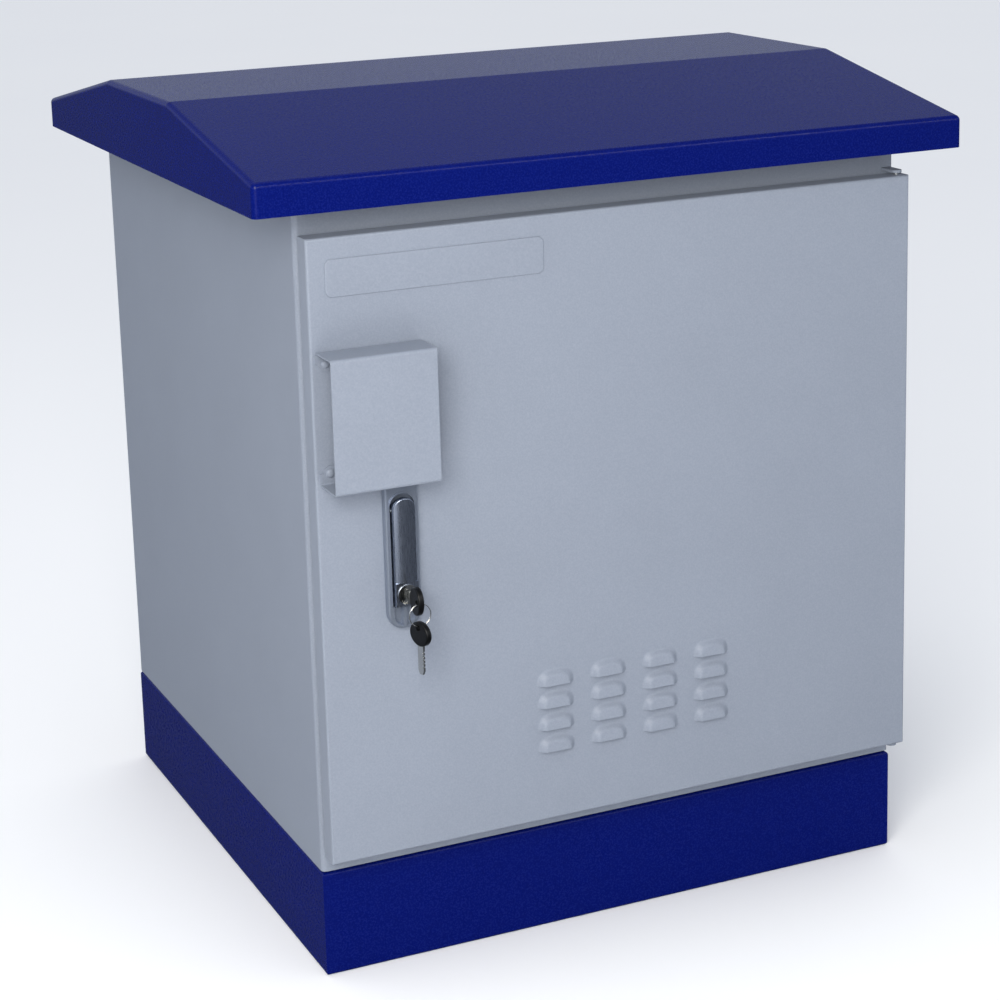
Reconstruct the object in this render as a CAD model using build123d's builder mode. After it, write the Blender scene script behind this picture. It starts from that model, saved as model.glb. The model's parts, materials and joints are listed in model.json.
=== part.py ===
from build123d import *
import os
from math import cos, radians, sin

# Outdoor rack cabinet: folded sheet body on a plinth, under a pitched canopy,
# with a louvred door, a swing-handle lock and 19-inch rails inside.
# Millimetres, +Z up, front towards -Y, origin on the floor at the plinth's centre.

os.makedirs("parts", exist_ok=True)

# Sheet stock
BODY_SHEET = 1.5
DOOR_SHEET = 1.5
ROOF_SHEET = 1.5
PLINTH_SHEET = 2.0
RAIL_SHEET = 2.0
HINGE_SHEET = 2.5
BEND = 1.5
OVERRUN = 5.0

# Body
BODY_WIDTH = 600.0
BODY_DEPTH = 580.0
BODY_HEIGHT = 616.0
SIDE_FLANGE = 26.0
BACK_FLANGE = 22.0
SEAL_LIP = 12.0
SEAM_STEP = 3.5
SKIRT_GAP = 2.0
BODY_CORNER = 5.0
PAN_FLANGE = 20.0
BACK_INSET = 2.0
BACK_CORNER = 6.0
BACK_SCREW_ROWS = 4

# Plinth
PLINTH_HEIGHT = 100.0
PLINTH_FLANGE = 45.0
ANCHOR_INSET = 50.0
ANCHOR_EDGE = 24.0
ANCHOR_BORE = 13.0
PLINTH_BOLT_INSET = 100.0
PLINTH_BOLT_EDGE = 28.0

# Canopy
ROOF_OVERHANG_SIDE = 48.0
ROOF_OVERHANG_FRONT = 41.0
ROOF_LIP = 29.5
ROOF_RISE = 42.5
ROOF_FLAT = 197.0
ROOF_DROP = 7.5
ROOF_BEND = 5.0
BRACKET_REACH = 55.0
BRACKET_WIDTH = 46.0
BRACKET_FOOT = 24.0
BRACKET_INSET = 90.0
BRACKET_BOLT_INSET = 30.0
VENT_LENGTH = 150.0
VENT_WIDTH = 8.0
VENT_PITCH_X = 190.0
VENT_PITCH_Y = 17.0
VENT_COLUMNS = 2
VENT_ROWS = 6
VENT_EDGE = 100.0

# Door
DOOR_DEPTH = 20.0
DOOR_SILL = 20.0
DOOR_HEAD = 31.0
DOOR_INSET = 0.5
DOOR_SHUT_GAP = 8.0
DOOR_EDGE = 2.5
SEAL_INSET = 13.5
GASKET_WIDTH = 12.0
GASKET_CORNER = 10.0
GASKET_CLEAR = 0.3
BADGE_WIDTH = 204.0
BADGE_HEIGHT = 33.0
BADGE_CORNER = 6.0
BADGE_RISE = 1.2
BADGE_SOFT = 1.0
BADGE_EDGE = 118.0
BADGE_DROP = 35.5

# Louvres
LOUVRE_WIDTH = 37.5
LOUVRE_HEIGHT = 15.0
LOUVRE_RISE = 7.0
LOUVRE_END = 6.0
LOUVRE_CORNER = 4.0
LOUVRE_COLUMNS = 4
LOUVRE_ROWS = 4
LOUVRE_PITCH_X = 53.8
LOUVRE_PITCH_Z = 21.2
LOUVRE_X = 3.0
LOUVRE_LEVEL = 99.3
FILTER_MARGIN = 14.0
FILTER_RIM = 8.0
FILTER_DEPTH = 14.0
FILTER_MAT_DEPTH = 10.0

# Hinges
HINGE_EDGE = 7.5
HINGE_SETBACK = 11.0
HINGE_PIN = 5.0
HINGE_PIN_DEPTH = 12.0
HINGE_TAB_WIDTH = 10.0
HINGE_TAB_GAP = 1.7
HINGE_BLOCK_WIDTH = 9.0
HINGE_BLOCK_DEPTH = 13.0
HINGE_BLOCK_HEIGHT = 12.0
HINGE_WASHER = 11.0
RUNNING_CLEAR = 0.06
SEAT_CLEAR = 0.2
HOLE_CLEAR = 0.5

# Rain hood over the lock
HOOD_WIDTH = 96.5
HOOD_HEIGHT = 118.3
HOOD_DEPTH = 38.0
HOOD_TAB = 11.0
HOOD_EDGE = 52.4
HOOD_DROP = 156.3
RIVET_EDGE_X = 9.0
RIVET_EDGE_Z = 11.0
RIVET_BORE = 4.0
RIVET_HEAD = 8.0
RIVET_HEAD_HEIGHT = 2.2
RIVET_TAIL = 6.0
RIVET_TAIL_LENGTH = 3.0
RIVET_EAR = 6.5

# Swing-handle lock
HANDLE_EDGE = 75.5
HANDLE_DROP = 244.0
ESCUTCHEON_WIDTH = 32.0
ESCUTCHEON_BELOW = 110.0
ESCUTCHEON_ABOVE = 28.0
ESCUTCHEON_RISE = 6.0
ESCUTCHEON_FLOOR = 1.5
ESCUTCHEON_ROUND = 2.5
ESCUTCHEON_CORNER = 3.0
DISH_MARGIN = 1.2
DISH_HEAD = 2.8
DISH_RIM = 1.2
DISH_RIM_RISE = 0.8
GRIP_WIDTH = 21.0
GRIP_BELOW = 87.0
GRIP_ABOVE = 11.0
GRIP_THICK = 12.0
GRIP_STEP = 1.0
GRIP_STEP_BELOW = 65.5
GRIP_CROWN = 2.5
GRIP_ROUND = 1.0
GRIP_SEAT = 0.5
PIVOT_REACH = 7.0
PIVOT_PIN = 4.0
GRIP_CREST_SHARE = 0.36
HEEL_ARC = 60.0
SCOOP_LENGTH = 19.0
SCOOP_DEPTH = 3.0
SCOOP_RIB = 3.0
SCOOP_TAPER = 25.0
SPINDLE = 16.0
SPINDLE_HEAD_WIDTH = 12.0
SPINDLE_HEAD_HEIGHT = 8.0
SPINDLE_SQUARE = 8.0
COLLAR = 22.0
COLLAR_LENGTH = 9.0
CLAMP_SHEET = 2.0
CLAMP_WIDTH = 32.0
LOCK_NUT = 30.0
LOCK_NUT_HEIGHT = 5.0
TONGUE_LENGTH = 62.0
TONGUE_WIDTH = 18.0
TONGUE_SHEET = 3.0
TONGUE_GAP = 2.0
TONGUE_BOLT_HEAD = 12.0
TONGUE_BOLT_HEIGHT = 4.0
LOCK_BELOW = 76.2
BARREL = 16.0
BARREL_RIM = 18.0
BARREL_RIM_HEIGHT = 1.0
BARREL_LENGTH = 20.0
BARREL_PORT = 22.0
PLUG = 11.5
PLUG_LENGTH = 18.5

# Keys and their ring
KEYWAY_WIDTH = 2.6
KEYWAY_HEIGHT = 8.6
KEY_SHEET = 2.0
KEY_BLADE_HEIGHT = 7.6
KEY_BLADE_TAPER_SHARE = 0.55
KEY_BLADE_LENGTH = 26.0
KEY_INSERTED = 17.0
KEY_CUT = 1.0
KEY_CUT_COUNT = 5
BOW_LENGTH = 22.0
BOW_HEIGHT = 25.5
BOW_THICK = 5.5
BOW_ROUND = 1.5
BOW_HOLE = 6.0
BOW_HOLE_INSET = 5.0
BOW_SOCKET = 6.0
RING_RADIUS = 9.6
RING_WIRE = 1.6
RING_SAG = 1.3
SPARE_TURN = 15.0

# Rack rails
RACK_UNIT = 44.45
RACK_HOLE = 9.5
RACK_HOLE_EDGE = 7.05
RACK_HOLE_STEP = 15.875
RAIL_END = 14.0
RAIL_WIDTH = 34.5
RAIL_LEG = 42.0
RAIL_SETBACK = 68.0
CROSSBAR_DEPTH = 38.5
CROSSBAR_HEIGHT = 40.0
CROSSBAR_END = 30.0
CROSSBAR_INSET = 6.0

# Cable entries and earth stud
CABLE_BORE = 50.0
CABLE_LIP = 5.0
CABLE_WALL = 6.0
CABLE_LIP_HEIGHT = 4.0
CABLE_X = 150.0
CABLE_BACK = 110.0
EARTH_STUD = 8.0
EARTH_STUD_LENGTH = 24.0
EARTH_NUT = 13.0
EARTH_NUT_HEIGHT = 6.5
EARTH_BACK = 75.0

# Bolts
BOLT = 8.0
BOLT_HEAD = 13.0
BOLT_HEAD_HEIGHT = 5.5
BOLT_NUT_HEIGHT = 6.5
RAIL_BOLT = 6.0
RAIL_BOLT_HEAD = 10.0
RAIL_BOLT_HEAD_HEIGHT = 4.0
SCREW = 4.0
SCREW_HEAD = 9.0
SCREW_HEAD_HEIGHT = 2.4
BOLT_CLEAR = 0.2

# Worked out places: a reach is a distance in front of the middle
SIDE_X = BODY_WIDTH / 2
FRONT = BODY_DEPTH / 2
BODY_BASE = PLINTH_HEIGHT
BODY_TOP = PLINTH_HEIGHT + BODY_HEIGHT
LIP_X = SIDE_X - SIDE_FLANGE
SEAM_X = LIP_X + SEAM_STEP
SKIRT_Z = BODY_BASE + SKIRT_GAP
DOOR_HEIGHT = BODY_HEIGHT - DOOR_SILL - DOOR_HEAD
DOOR_LOW = BODY_BASE + DOOR_SILL
DOOR_HIGH = DOOR_LOW + DOOR_HEIGHT
DOOR_X = SIDE_X - DOOR_INSET
DOOR_BACK = FRONT + DOOR_SHUT_GAP
DOOR_FACE = DOOR_BACK + DOOR_DEPTH
DOOR_INNER = DOOR_FACE - DOOR_SHEET
DOOR_MIDDLE_Z = DOOR_LOW + DOOR_HEIGHT / 2
HEAD_Z = DOOR_HIGH - SEAL_INSET
SILL_Z = DOOR_LOW + SEAL_INSET
ROOF_LOW = BODY_TOP - ROOF_DROP
ROOF_EAVE = ROOF_LOW + ROOF_LIP
ROOF_TOP = ROOF_EAVE + ROOF_RISE
ROOF_REACH = FRONT + ROOF_OVERHANG_FRONT
ROOF_X = SIDE_X + ROOF_OVERHANG_SIDE
HINGE_X = DOOR_X - HINGE_EDGE
HINGE_REACH = DOOR_FACE - HINGE_SETBACK
BADGE_X = BADGE_EDGE - DOOR_X
BADGE_Z = DOOR_HIGH - BADGE_DROP
LOUVRE_LIP_Z = DOOR_LOW + LOUVRE_LEVEL
HOOD_X = HOOD_EDGE - DOOR_X
HOOD_Z = DOOR_HIGH - HOOD_DROP
CROSSBAR_X = SIDE_X - BODY_SHEET - CROSSBAR_DEPTH
CROSSBAR_LENGTH = BODY_DEPTH - 2 * CROSSBAR_END
RACK_CLEAR = 2 * (CROSSBAR_X - RAIL_WIDTH)
RACK_HOLE_SPACING = RACK_CLEAR + 2 * RACK_HOLE_EDGE
RACK_UNITS = int((HEAD_Z - SILL_Z) / RACK_UNIT)
RAIL_REACH = FRONT - RAIL_SETBACK
RAIL_LENGTH = RACK_UNITS * RACK_UNIT + 2 * RAIL_END
RAIL_LOW = DOOR_MIDDLE_Z - RAIL_LENGTH / 2
RAIL_HIGH = DOOR_MIDDLE_Z + RAIL_LENGTH / 2
CROSSBAR_LEVELS = (RAIL_LOW + CROSSBAR_INSET, RAIL_HIGH - CROSSBAR_INSET - CROSSBAR_HEIGHT)
BRACKET_LENGTH = BODY_WIDTH - 2 * BRACKET_INSET
BRACKET_BOLT_REACH = BRACKET_WIDTH / 2 + BRACKET_FOOT / 2
VENT_CENTRE_Y = FRONT - VENT_EDGE
CABLE_Y = FRONT - CABLE_BACK
EARTH_Y = FRONT - EARTH_BACK
ANCHOR_X = SIDE_X - ANCHOR_INSET
ANCHOR_Y = FRONT - ANCHOR_EDGE
PLINTH_BOLT_X = SIDE_X - PLINTH_BOLT_INSET
PLINTH_BOLT_Y = FRONT - PLINTH_BOLT_EDGE
HANDLE_X = HANDLE_EDGE - DOOR_X
PIVOT_Z = DOOR_HIGH - HANDLE_DROP
LOCK_Z = PIVOT_Z - LOCK_BELOW
ESCUTCHEON_LOW = PIVOT_Z - ESCUTCHEON_BELOW
ESCUTCHEON_HIGH = PIVOT_Z + ESCUTCHEON_ABOVE
GRIP_LOW = PIVOT_Z - GRIP_BELOW
GRIP_HIGH = PIVOT_Z + GRIP_ABOVE
GRIP_STEP_Z = PIVOT_Z - GRIP_STEP_BELOW
DISH_FLOOR = DOOR_FACE + ESCUTCHEON_FLOOR
GRIP_BACK = DISH_FLOOR + GRIP_SEAT
GRIP_FRONT = GRIP_BACK + GRIP_THICK
PIVOT = DOOR_FACE + PIVOT_REACH
PLUG_FACE = GRIP_FRONT - GRIP_STEP + BARREL_RIM_HEIGHT
SPINDLE_END = DOOR_INNER - CLAMP_SHEET - LOCK_NUT_HEIGHT
TONGUE_REACH = FRONT - BODY_SHEET - TONGUE_GAP
BOW_REACH = PLUG_FACE + KEY_BLADE_LENGTH - KEY_INSERTED + BOW_LENGTH / 2
BOW_HOLE_SHIFT = BOW_LENGTH / 2 - BOW_HOLE_INSET
RING_REACH = BOW_REACH + BOW_HOLE_SHIFT
RING_TOP_Z = LOCK_Z - RING_SAG
RING_Z = RING_TOP_Z - RING_RADIUS
RING_LOW_Z = RING_Z - RING_RADIUS
SPARE_HOLE_Z = RING_LOW_Z - RING_SAG
SPARE_Z = SPARE_HOLE_Z - BOW_HOLE_SHIFT

# Side view: first coordinate is the reach to the front, second is the height
SIDE_VIEW = Plane(origin=(0, 0, 0), x_dir=(0, -1, 0), z_dir=(-1, 0, 0))


def side_view(x):
    """Side-view plane standing at a distance x to the right of the middle."""
    return SIDE_VIEW.offset(-x)


def front_view(reach):
    """Front-view plane, x to the right and z up, at a reach in front of the middle."""
    return Plane.XZ.offset(reach)


def plan_view(z):
    """Plan view at a height z."""
    return Plane.XY.offset(z)


def folded_strip(plane, points, radii, sheet, side):
    """Section of a folded sheet: a filleted outline thickened to one side."""
    with BuildSketch(plane) as section:
        with BuildLine():
            FilletPolyline(*points, radius=radii)
            offset(amount=sheet, side=side)
        make_face()
    return section.sketch


def save(piece, name):
    """Label a finished piece and write its file."""
    piece.part.label = name
    export_step(piece.part, f"parts/{name}.step")


# Plinth: four lipped channels, mitred where they meet
PLINTH_ROUND = BEND + PLINTH_SHEET
plinth_front_outline = (
    (FRONT - PLINTH_FLANGE, PLINTH_HEIGHT),
    (FRONT, PLINTH_HEIGHT),
    (FRONT, 0),
    (FRONT - PLINTH_FLANGE, 0),
)
with BuildPart() as plinth_front:
    channel = folded_strip(SIDE_VIEW, plinth_front_outline, PLINTH_ROUND, PLINTH_SHEET, Side.RIGHT)
    extrude(channel, amount=SIDE_X, both=True)
    split(bisect_by=Plane(origin=(SIDE_X, -FRONT, 0), z_dir=(1, 1, 0)), keep=Keep.BOTTOM)
    split(bisect_by=Plane(origin=(-SIDE_X, -FRONT, 0), z_dir=(-1, 1, 0)), keep=Keep.BOTTOM)
    with Locations(
        (-ANCHOR_X, -ANCHOR_Y, PLINTH_SHEET),
        (ANCHOR_X, -ANCHOR_Y, PLINTH_SHEET),
    ):
        Hole(ANCHOR_BORE / 2, depth=PLINTH_SHEET + OVERRUN)
    with Locations(
        (-PLINTH_BOLT_X, -PLINTH_BOLT_Y, PLINTH_HEIGHT),
        (PLINTH_BOLT_X, -PLINTH_BOLT_Y, PLINTH_HEIGHT),
    ):
        Hole(BOLT / 2 + BOLT_CLEAR, depth=PLINTH_SHEET + OVERRUN)
save(plinth_front, "plinth_front")

with BuildPart() as plinth_rear:
    mirror(plinth_front.part, about=Plane.XZ)
save(plinth_rear, "plinth_rear")

plinth_side_outline = (
    (PLINTH_FLANGE - SIDE_X, PLINTH_HEIGHT),
    (-SIDE_X, PLINTH_HEIGHT),
    (-SIDE_X, 0),
    (PLINTH_FLANGE - SIDE_X, 0),
)
with BuildPart() as plinth_left:
    channel = folded_strip(Plane.XZ, plinth_side_outline, PLINTH_ROUND, PLINTH_SHEET, Side.LEFT)
    extrude(channel, amount=FRONT, both=True)
    split(bisect_by=Plane(origin=(-SIDE_X, -FRONT, 0), z_dir=(-1, 1, 0)), keep=Keep.TOP)
    split(bisect_by=Plane(origin=(-SIDE_X, FRONT, 0), z_dir=(-1, -1, 0)), keep=Keep.TOP)
save(plinth_left, "plinth_left")

with BuildPart() as plinth_right:
    mirror(plinth_left.part, about=Plane.YZ)
save(plinth_right, "plinth_right")

# Side panels: rolled front flange with a sealing lip, and a back flange
BODY_ROUND = BEND + BODY_SHEET
side_outline = (
    (-LIP_X, -FRONT - SEAL_LIP),
    (-LIP_X, -FRONT),
    (-SIDE_X, -FRONT),
    (-SIDE_X, FRONT),
    (BACK_FLANGE - SIDE_X, FRONT),
)
back_screw_x = SIDE_X - BACK_FLANGE / 2
back_screw_pitch = (BODY_HEIGHT - 2 * BACK_FLANGE) / (BACK_SCREW_ROWS - 1)
back_screw_low = BODY_BASE + BACK_FLANGE
back_screw_levels = [back_screw_low + row * back_screw_pitch for row in range(BACK_SCREW_ROWS)]
with BuildPart() as side_panel_left:
    side_radii = (BEND, BODY_CORNER, BODY_CORNER)
    sheet = folded_strip(plan_view(SKIRT_Z), side_outline, side_radii, BODY_SHEET, Side.RIGHT)
    extrude(sheet, amount=BODY_HEIGHT - SKIRT_GAP)
    lip_corner = (-SEAM_X, -FRONT - SEAL_LIP - OVERRUN)
    trim_depth = SEAL_LIP + OVERRUN + BODY_SHEET + BEND
    with Locations((*lip_corner, HEAD_Z)):
        Box(SEAM_X, trim_depth, BODY_HEIGHT, align=Align.MIN, mode=Mode.SUBTRACT)
    with Locations((*lip_corner, SILL_Z)):
        Box(SEAM_X, trim_depth, BODY_HEIGHT, align=(Align.MIN, Align.MIN, Align.MAX), mode=Mode.SUBTRACT)
    with BuildSketch(front_view(-FRONT - OVERRUN)):
        with Locations(*[(-back_screw_x, z) for z in back_screw_levels]):
            Circle(SCREW / 2 + BOLT_CLEAR)
    extrude(amount=OVERRUN + BACK_FLANGE / 2, mode=Mode.SUBTRACT)
save(side_panel_left, "side_panel_left")

tab_levels = {"upper": (DOOR_HIGH + HINGE_TAB_GAP, 1), "lower": (DOOR_LOW - HINGE_TAB_GAP, -1)}
slot_width = HINGE_TAB_WIDTH + 2 * SEAT_CLEAR
slot_depth = OVERRUN + BODY_SHEET
with BuildPart() as side_panel_right:
    mirror(side_panel_left.part, about=Plane.YZ)
    # slots for the roots of the hinge tabs
    for ear_z, up in tab_levels.values():
        with BuildSketch(plan_view(ear_z - up * SEAT_CLEAR)):
            with Locations((HINGE_X, -FRONT - OVERRUN)):
                Rectangle(slot_width, slot_depth, align=(Align.CENTER, Align.MIN))
        extrude(amount=up * (HINGE_SHEET + 2 * SEAT_CLEAR), mode=Mode.SUBTRACT)
save(side_panel_right, "side_panel_right")

# Front header and sill, each with the sealing lip that closes the door frame
header_outline = ((FRONT + SEAL_LIP, HEAD_Z + BODY_SHEET), (FRONT, HEAD_Z + BODY_SHEET), (FRONT, BODY_TOP))
with BuildPart() as front_header:
    extrude(folded_strip(SIDE_VIEW, header_outline, BEND, BODY_SHEET, Side.LEFT), amount=SEAM_X, both=True)
save(front_header, "front_header")

sill_outline = ((FRONT + SEAL_LIP, SILL_Z - BODY_SHEET), (FRONT, SILL_Z - BODY_SHEET), (FRONT, SKIRT_Z))
with BuildPart() as front_sill:
    extrude(folded_strip(SIDE_VIEW, sill_outline, BEND, BODY_SHEET, Side.RIGHT), amount=SEAM_X, both=True)
save(front_sill, "front_sill")

# Top pan with exhaust slots, and floor pan with cable entries
PAN_WIDTH = BODY_WIDTH - 2 * BODY_SHEET
PAN_DEPTH = BODY_DEPTH - 2 * BODY_SHEET
bracket_bolts = [
    (x, y + step)
    for y in (-BRACKET_REACH, BRACKET_REACH)
    for step in (-BRACKET_BOLT_REACH, BRACKET_BOLT_REACH)
    for x in (BRACKET_BOLT_INSET - BRACKET_LENGTH / 2, BRACKET_LENGTH / 2 - BRACKET_BOLT_INSET)
]
with BuildPart() as top_panel:
    with BuildSketch(plan_view(BODY_TOP)):
        RectangleRounded(PAN_WIDTH, PAN_DEPTH, BODY_CORNER)
    extrude(amount=-PAN_FLANGE)
    fillet(top_panel.faces().sort_by(Axis.Z)[-1].edges(), radius=BODY_ROUND)
    offset(amount=-BODY_SHEET, openings=top_panel.faces().sort_by(Axis.Z)[0])
    with BuildSketch(plan_view(BODY_TOP)):
        with Locations((0, -VENT_CENTRE_Y), (0, VENT_CENTRE_Y)):
            with GridLocations(VENT_PITCH_X, VENT_PITCH_Y, VENT_COLUMNS, VENT_ROWS):
                SlotOverall(VENT_LENGTH, VENT_WIDTH)
        with Locations(*bracket_bolts):
            Circle(BOLT / 2 + BOLT_CLEAR)
    extrude(amount=-BODY_SHEET - OVERRUN, mode=Mode.SUBTRACT)
save(top_panel, "top_panel")

plinth_bolts = [
    (x, y)
    for x in (-PLINTH_BOLT_X, PLINTH_BOLT_X)
    for y in (-PLINTH_BOLT_Y, PLINTH_BOLT_Y)
]
CABLE_HOLE = CABLE_BORE + 2 * CABLE_WALL
with BuildPart() as floor_panel:
    with BuildSketch(plan_view(BODY_BASE)):
        RectangleRounded(PAN_WIDTH, PAN_DEPTH, BODY_CORNER)
    extrude(amount=PAN_FLANGE)
    fillet(floor_panel.faces().sort_by(Axis.Z)[0].edges(), radius=BODY_ROUND)
    offset(amount=-BODY_SHEET, openings=floor_panel.faces().sort_by(Axis.Z)[-1])
    with BuildSketch(plan_view(BODY_BASE)):
        with Locations((-CABLE_X, CABLE_Y), (CABLE_X, CABLE_Y)):
            Circle(CABLE_HOLE / 2)
        with Locations(*plinth_bolts):
            Circle(BOLT / 2 + BOLT_CLEAR)
    extrude(amount=BODY_SHEET + OVERRUN, mode=Mode.SUBTRACT)
save(floor_panel, "floor_panel")

# Back panel, screwed on the back flanges from outside
with BuildPart() as back_panel:
    with BuildSketch(front_view(-FRONT)):
        with Locations((0, BODY_BASE + BODY_HEIGHT / 2)):
            RectangleRounded(BODY_WIDTH - 2 * BACK_INSET, BODY_HEIGHT - 2 * BACK_INSET, BACK_CORNER)
        with Locations(*[(x, z) for x in (-back_screw_x, back_screw_x) for z in back_screw_levels]):
            Circle(SCREW / 2 + BOLT_CLEAR, mode=Mode.SUBTRACT)
    extrude(amount=-BODY_SHEET)
save(back_panel, "back_panel")

with BuildPart() as back_screws:
    screw_places = [(x, z) for x in (-back_screw_x, back_screw_x) for z in back_screw_levels]
    with BuildSketch(front_view(-FRONT - BODY_SHEET)):
        with Locations(*screw_places):
            Circle(SCREW_HEAD / 2)
    extrude(amount=-SCREW_HEAD_HEIGHT)
    with BuildSketch(front_view(-FRONT - BODY_SHEET)):
        with Locations(*screw_places):
            Circle(SCREW / 2)
    extrude(amount=BODY_SHEET + BACK_FLANGE / 2)
save(back_screws, "back_screws")

# Canopy: pitched front and back, flat strip along the middle, open underneath
roof_outline = (
    (-ROOF_REACH, ROOF_LOW),
    (-ROOF_REACH, ROOF_EAVE),
    (-ROOF_FLAT / 2, ROOF_TOP),
    (ROOF_FLAT / 2, ROOF_TOP),
    (ROOF_REACH, ROOF_EAVE),
    (ROOF_REACH, ROOF_LOW),
)
with BuildPart() as roof_canopy:
    with BuildSketch(SIDE_VIEW):
        with BuildLine():
            Polyline(*roof_outline, close=True)
        make_face()
    extrude(amount=ROOF_X, both=True)
    underside = roof_canopy.faces().sort_by(Axis.Z)[0]
    fillet(roof_canopy.edges() - underside.edges(), radius=ROOF_BEND)
    offset(amount=-ROOF_SHEET, openings=roof_canopy.faces().sort_by(Axis.Z)[0])
save(roof_canopy, "roof_canopy")

# Hat-section brackets that carry the canopy on the top pan
for name, middle in (("front", BRACKET_REACH), ("rear", -BRACKET_REACH)):
    half = BRACKET_WIDTH / 2
    foot_top = BODY_TOP + BODY_SHEET
    crown = ROOF_TOP - ROOF_SHEET
    hat_outline = (
        (middle - half - BRACKET_FOOT, foot_top),
        (middle - half, foot_top),
        (middle - half, crown),
        (middle + half, crown),
        (middle + half, foot_top),
        (middle + half + BRACKET_FOOT, foot_top),
    )
    hat_radii = (BEND, BODY_ROUND, BODY_ROUND, BEND)
    with BuildPart() as roof_bracket:
        hat = folded_strip(SIDE_VIEW, hat_outline, hat_radii, BODY_SHEET, Side.RIGHT)
        extrude(hat, amount=BRACKET_LENGTH / 2, both=True)
        with BuildSketch(plan_view(foot_top)):
            with Locations(*[(x, y) for x, y in bracket_bolts if y * middle < 0]):
                Circle(BOLT / 2 + BOLT_CLEAR)
        extrude(amount=-BODY_SHEET - OVERRUN, mode=Mode.SUBTRACT)
    save(roof_bracket, f"roof_bracket_{name}")

with BuildPart() as roof_bolts:
    with BuildSketch(plan_view(BODY_TOP - BODY_SHEET)):
        with Locations(*bracket_bolts):
            RegularPolygon(BOLT_HEAD / 2, side_count=6, major_radius=False)
    extrude(amount=-BOLT_HEAD_HEIGHT)
    with BuildSketch(plan_view(BODY_TOP - BODY_SHEET)):
        with Locations(*bracket_bolts):
            Circle(BOLT / 2)
    extrude(amount=2 * BODY_SHEET + BOLT_NUT_HEIGHT + BEND)
save(roof_bolts, "roof_bolts")

with BuildPart() as roof_nuts:
    with BuildSketch(plan_view(BODY_TOP + BODY_SHEET)):
        with Locations(*bracket_bolts):
            RegularPolygon(BOLT_HEAD / 2, side_count=6, major_radius=False)
            Circle(BOLT / 2 + BOLT_CLEAR, mode=Mode.SUBTRACT)
    extrude(amount=BOLT_NUT_HEIGHT)
save(roof_nuts, "roof_nuts")

# Bolts that hold the floor pan on the plinth
with BuildPart() as base_bolts:
    with BuildSketch(plan_view(BODY_BASE + BODY_SHEET)):
        with Locations(*plinth_bolts):
            RegularPolygon(BOLT_HEAD / 2, side_count=6, major_radius=False)
    extrude(amount=BOLT_HEAD_HEIGHT)
    with BuildSketch(plan_view(BODY_BASE + BODY_SHEET)):
        with Locations(*plinth_bolts):
            Circle(BOLT / 2)
    extrude(amount=-BODY_SHEET - PLINTH_SHEET - BOLT_NUT_HEIGHT)
save(base_bolts, "base_bolts")

with BuildPart() as base_nuts:
    with BuildSketch(plan_view(PLINTH_HEIGHT - PLINTH_SHEET)):
        with Locations(*plinth_bolts):
            RegularPolygon(BOLT_HEAD / 2, side_count=6, major_radius=False)
            Circle(BOLT / 2 + BOLT_CLEAR, mode=Mode.SUBTRACT)
    extrude(amount=-BOLT_NUT_HEIGHT)
save(base_nuts, "base_nuts")

# Crossbars along the depth of each side, open towards the side panel
RAIL_ROUND = BEND + RAIL_SHEET
rail_bolt_y = RAIL_REACH - RAIL_LEG / 2
rail_bolt_levels = [level + CROSSBAR_HEIGHT / 2 for level in CROSSBAR_LEVELS]
for side, sign in (("left", -1), ("right", 1)):
    for place, level in zip(("low", "high"), CROSSBAR_LEVELS):
        wall = sign * (SIDE_X - BODY_SHEET)
        web = sign * CROSSBAR_X
        bolt_z = level + CROSSBAR_HEIGHT / 2
        bar_outline = (
            (wall, level + CROSSBAR_HEIGHT),
            (web, level + CROSSBAR_HEIGHT),
            (web, level),
            (wall, level),
        )
        inward = Side.RIGHT if sign < 0 else Side.LEFT
        with BuildPart() as crossbar:
            channel = folded_strip(Plane.XZ, bar_outline, RAIL_ROUND, RAIL_SHEET, inward)
            extrude(channel, amount=CROSSBAR_LENGTH / 2, both=True)
            with BuildSketch(side_view(web)):
                with Locations((-rail_bolt_y, bolt_z), (rail_bolt_y, bolt_z)):
                    Circle(RAIL_BOLT / 2 + BOLT_CLEAR)
            extrude(amount=RAIL_SHEET + OVERRUN, both=True, mode=Mode.SUBTRACT)
        save(crossbar, f"crossbar_{side}_{place}")

# 19-inch rails: angle sections with square holes, three to a rack unit
rack_low = DOOR_MIDDLE_Z - RACK_UNITS * RACK_UNIT / 2
hole_middle = RACK_UNIT / 2
hole_levels = [
    rack_low + unit * RACK_UNIT + hole_middle + step * RACK_HOLE_STEP
    for unit in range(RACK_UNITS)
    for step in (-1, 0, 1)
]
for side, sign in (("left", -1), ("right", 1)):
    for place, depth_sign in (("front", -1), ("rear", 1)):
        face_y = depth_sign * RAIL_REACH
        rail_outline = (
            (sign * RACK_CLEAR / 2, face_y),
            (sign * CROSSBAR_X, face_y),
            (sign * CROSSBAR_X, face_y - depth_sign * RAIL_LEG),
        )
        inward = Side.RIGHT if sign == depth_sign else Side.LEFT
        with BuildPart() as rail:
            angle = folded_strip(plan_view(RAIL_LOW), rail_outline, RAIL_ROUND, RAIL_SHEET, inward)
            extrude(angle, amount=RAIL_LENGTH)
            with BuildSketch(front_view(-face_y)):
                with Locations(*[(sign * RACK_HOLE_SPACING / 2, z) for z in hole_levels]):
                    Rectangle(RACK_HOLE, RACK_HOLE)
            extrude(amount=RAIL_SHEET + BEND, both=True, mode=Mode.SUBTRACT)
            with BuildSketch(side_view(sign * CROSSBAR_X)):
                with Locations(*[(-depth_sign * rail_bolt_y, z) for z in rail_bolt_levels]):
                    Circle(RAIL_BOLT / 2 + BOLT_CLEAR)
            extrude(amount=RAIL_SHEET + OVERRUN, both=True, mode=Mode.SUBTRACT)
        save(rail, f"rail_{place}_{side}")

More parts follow.
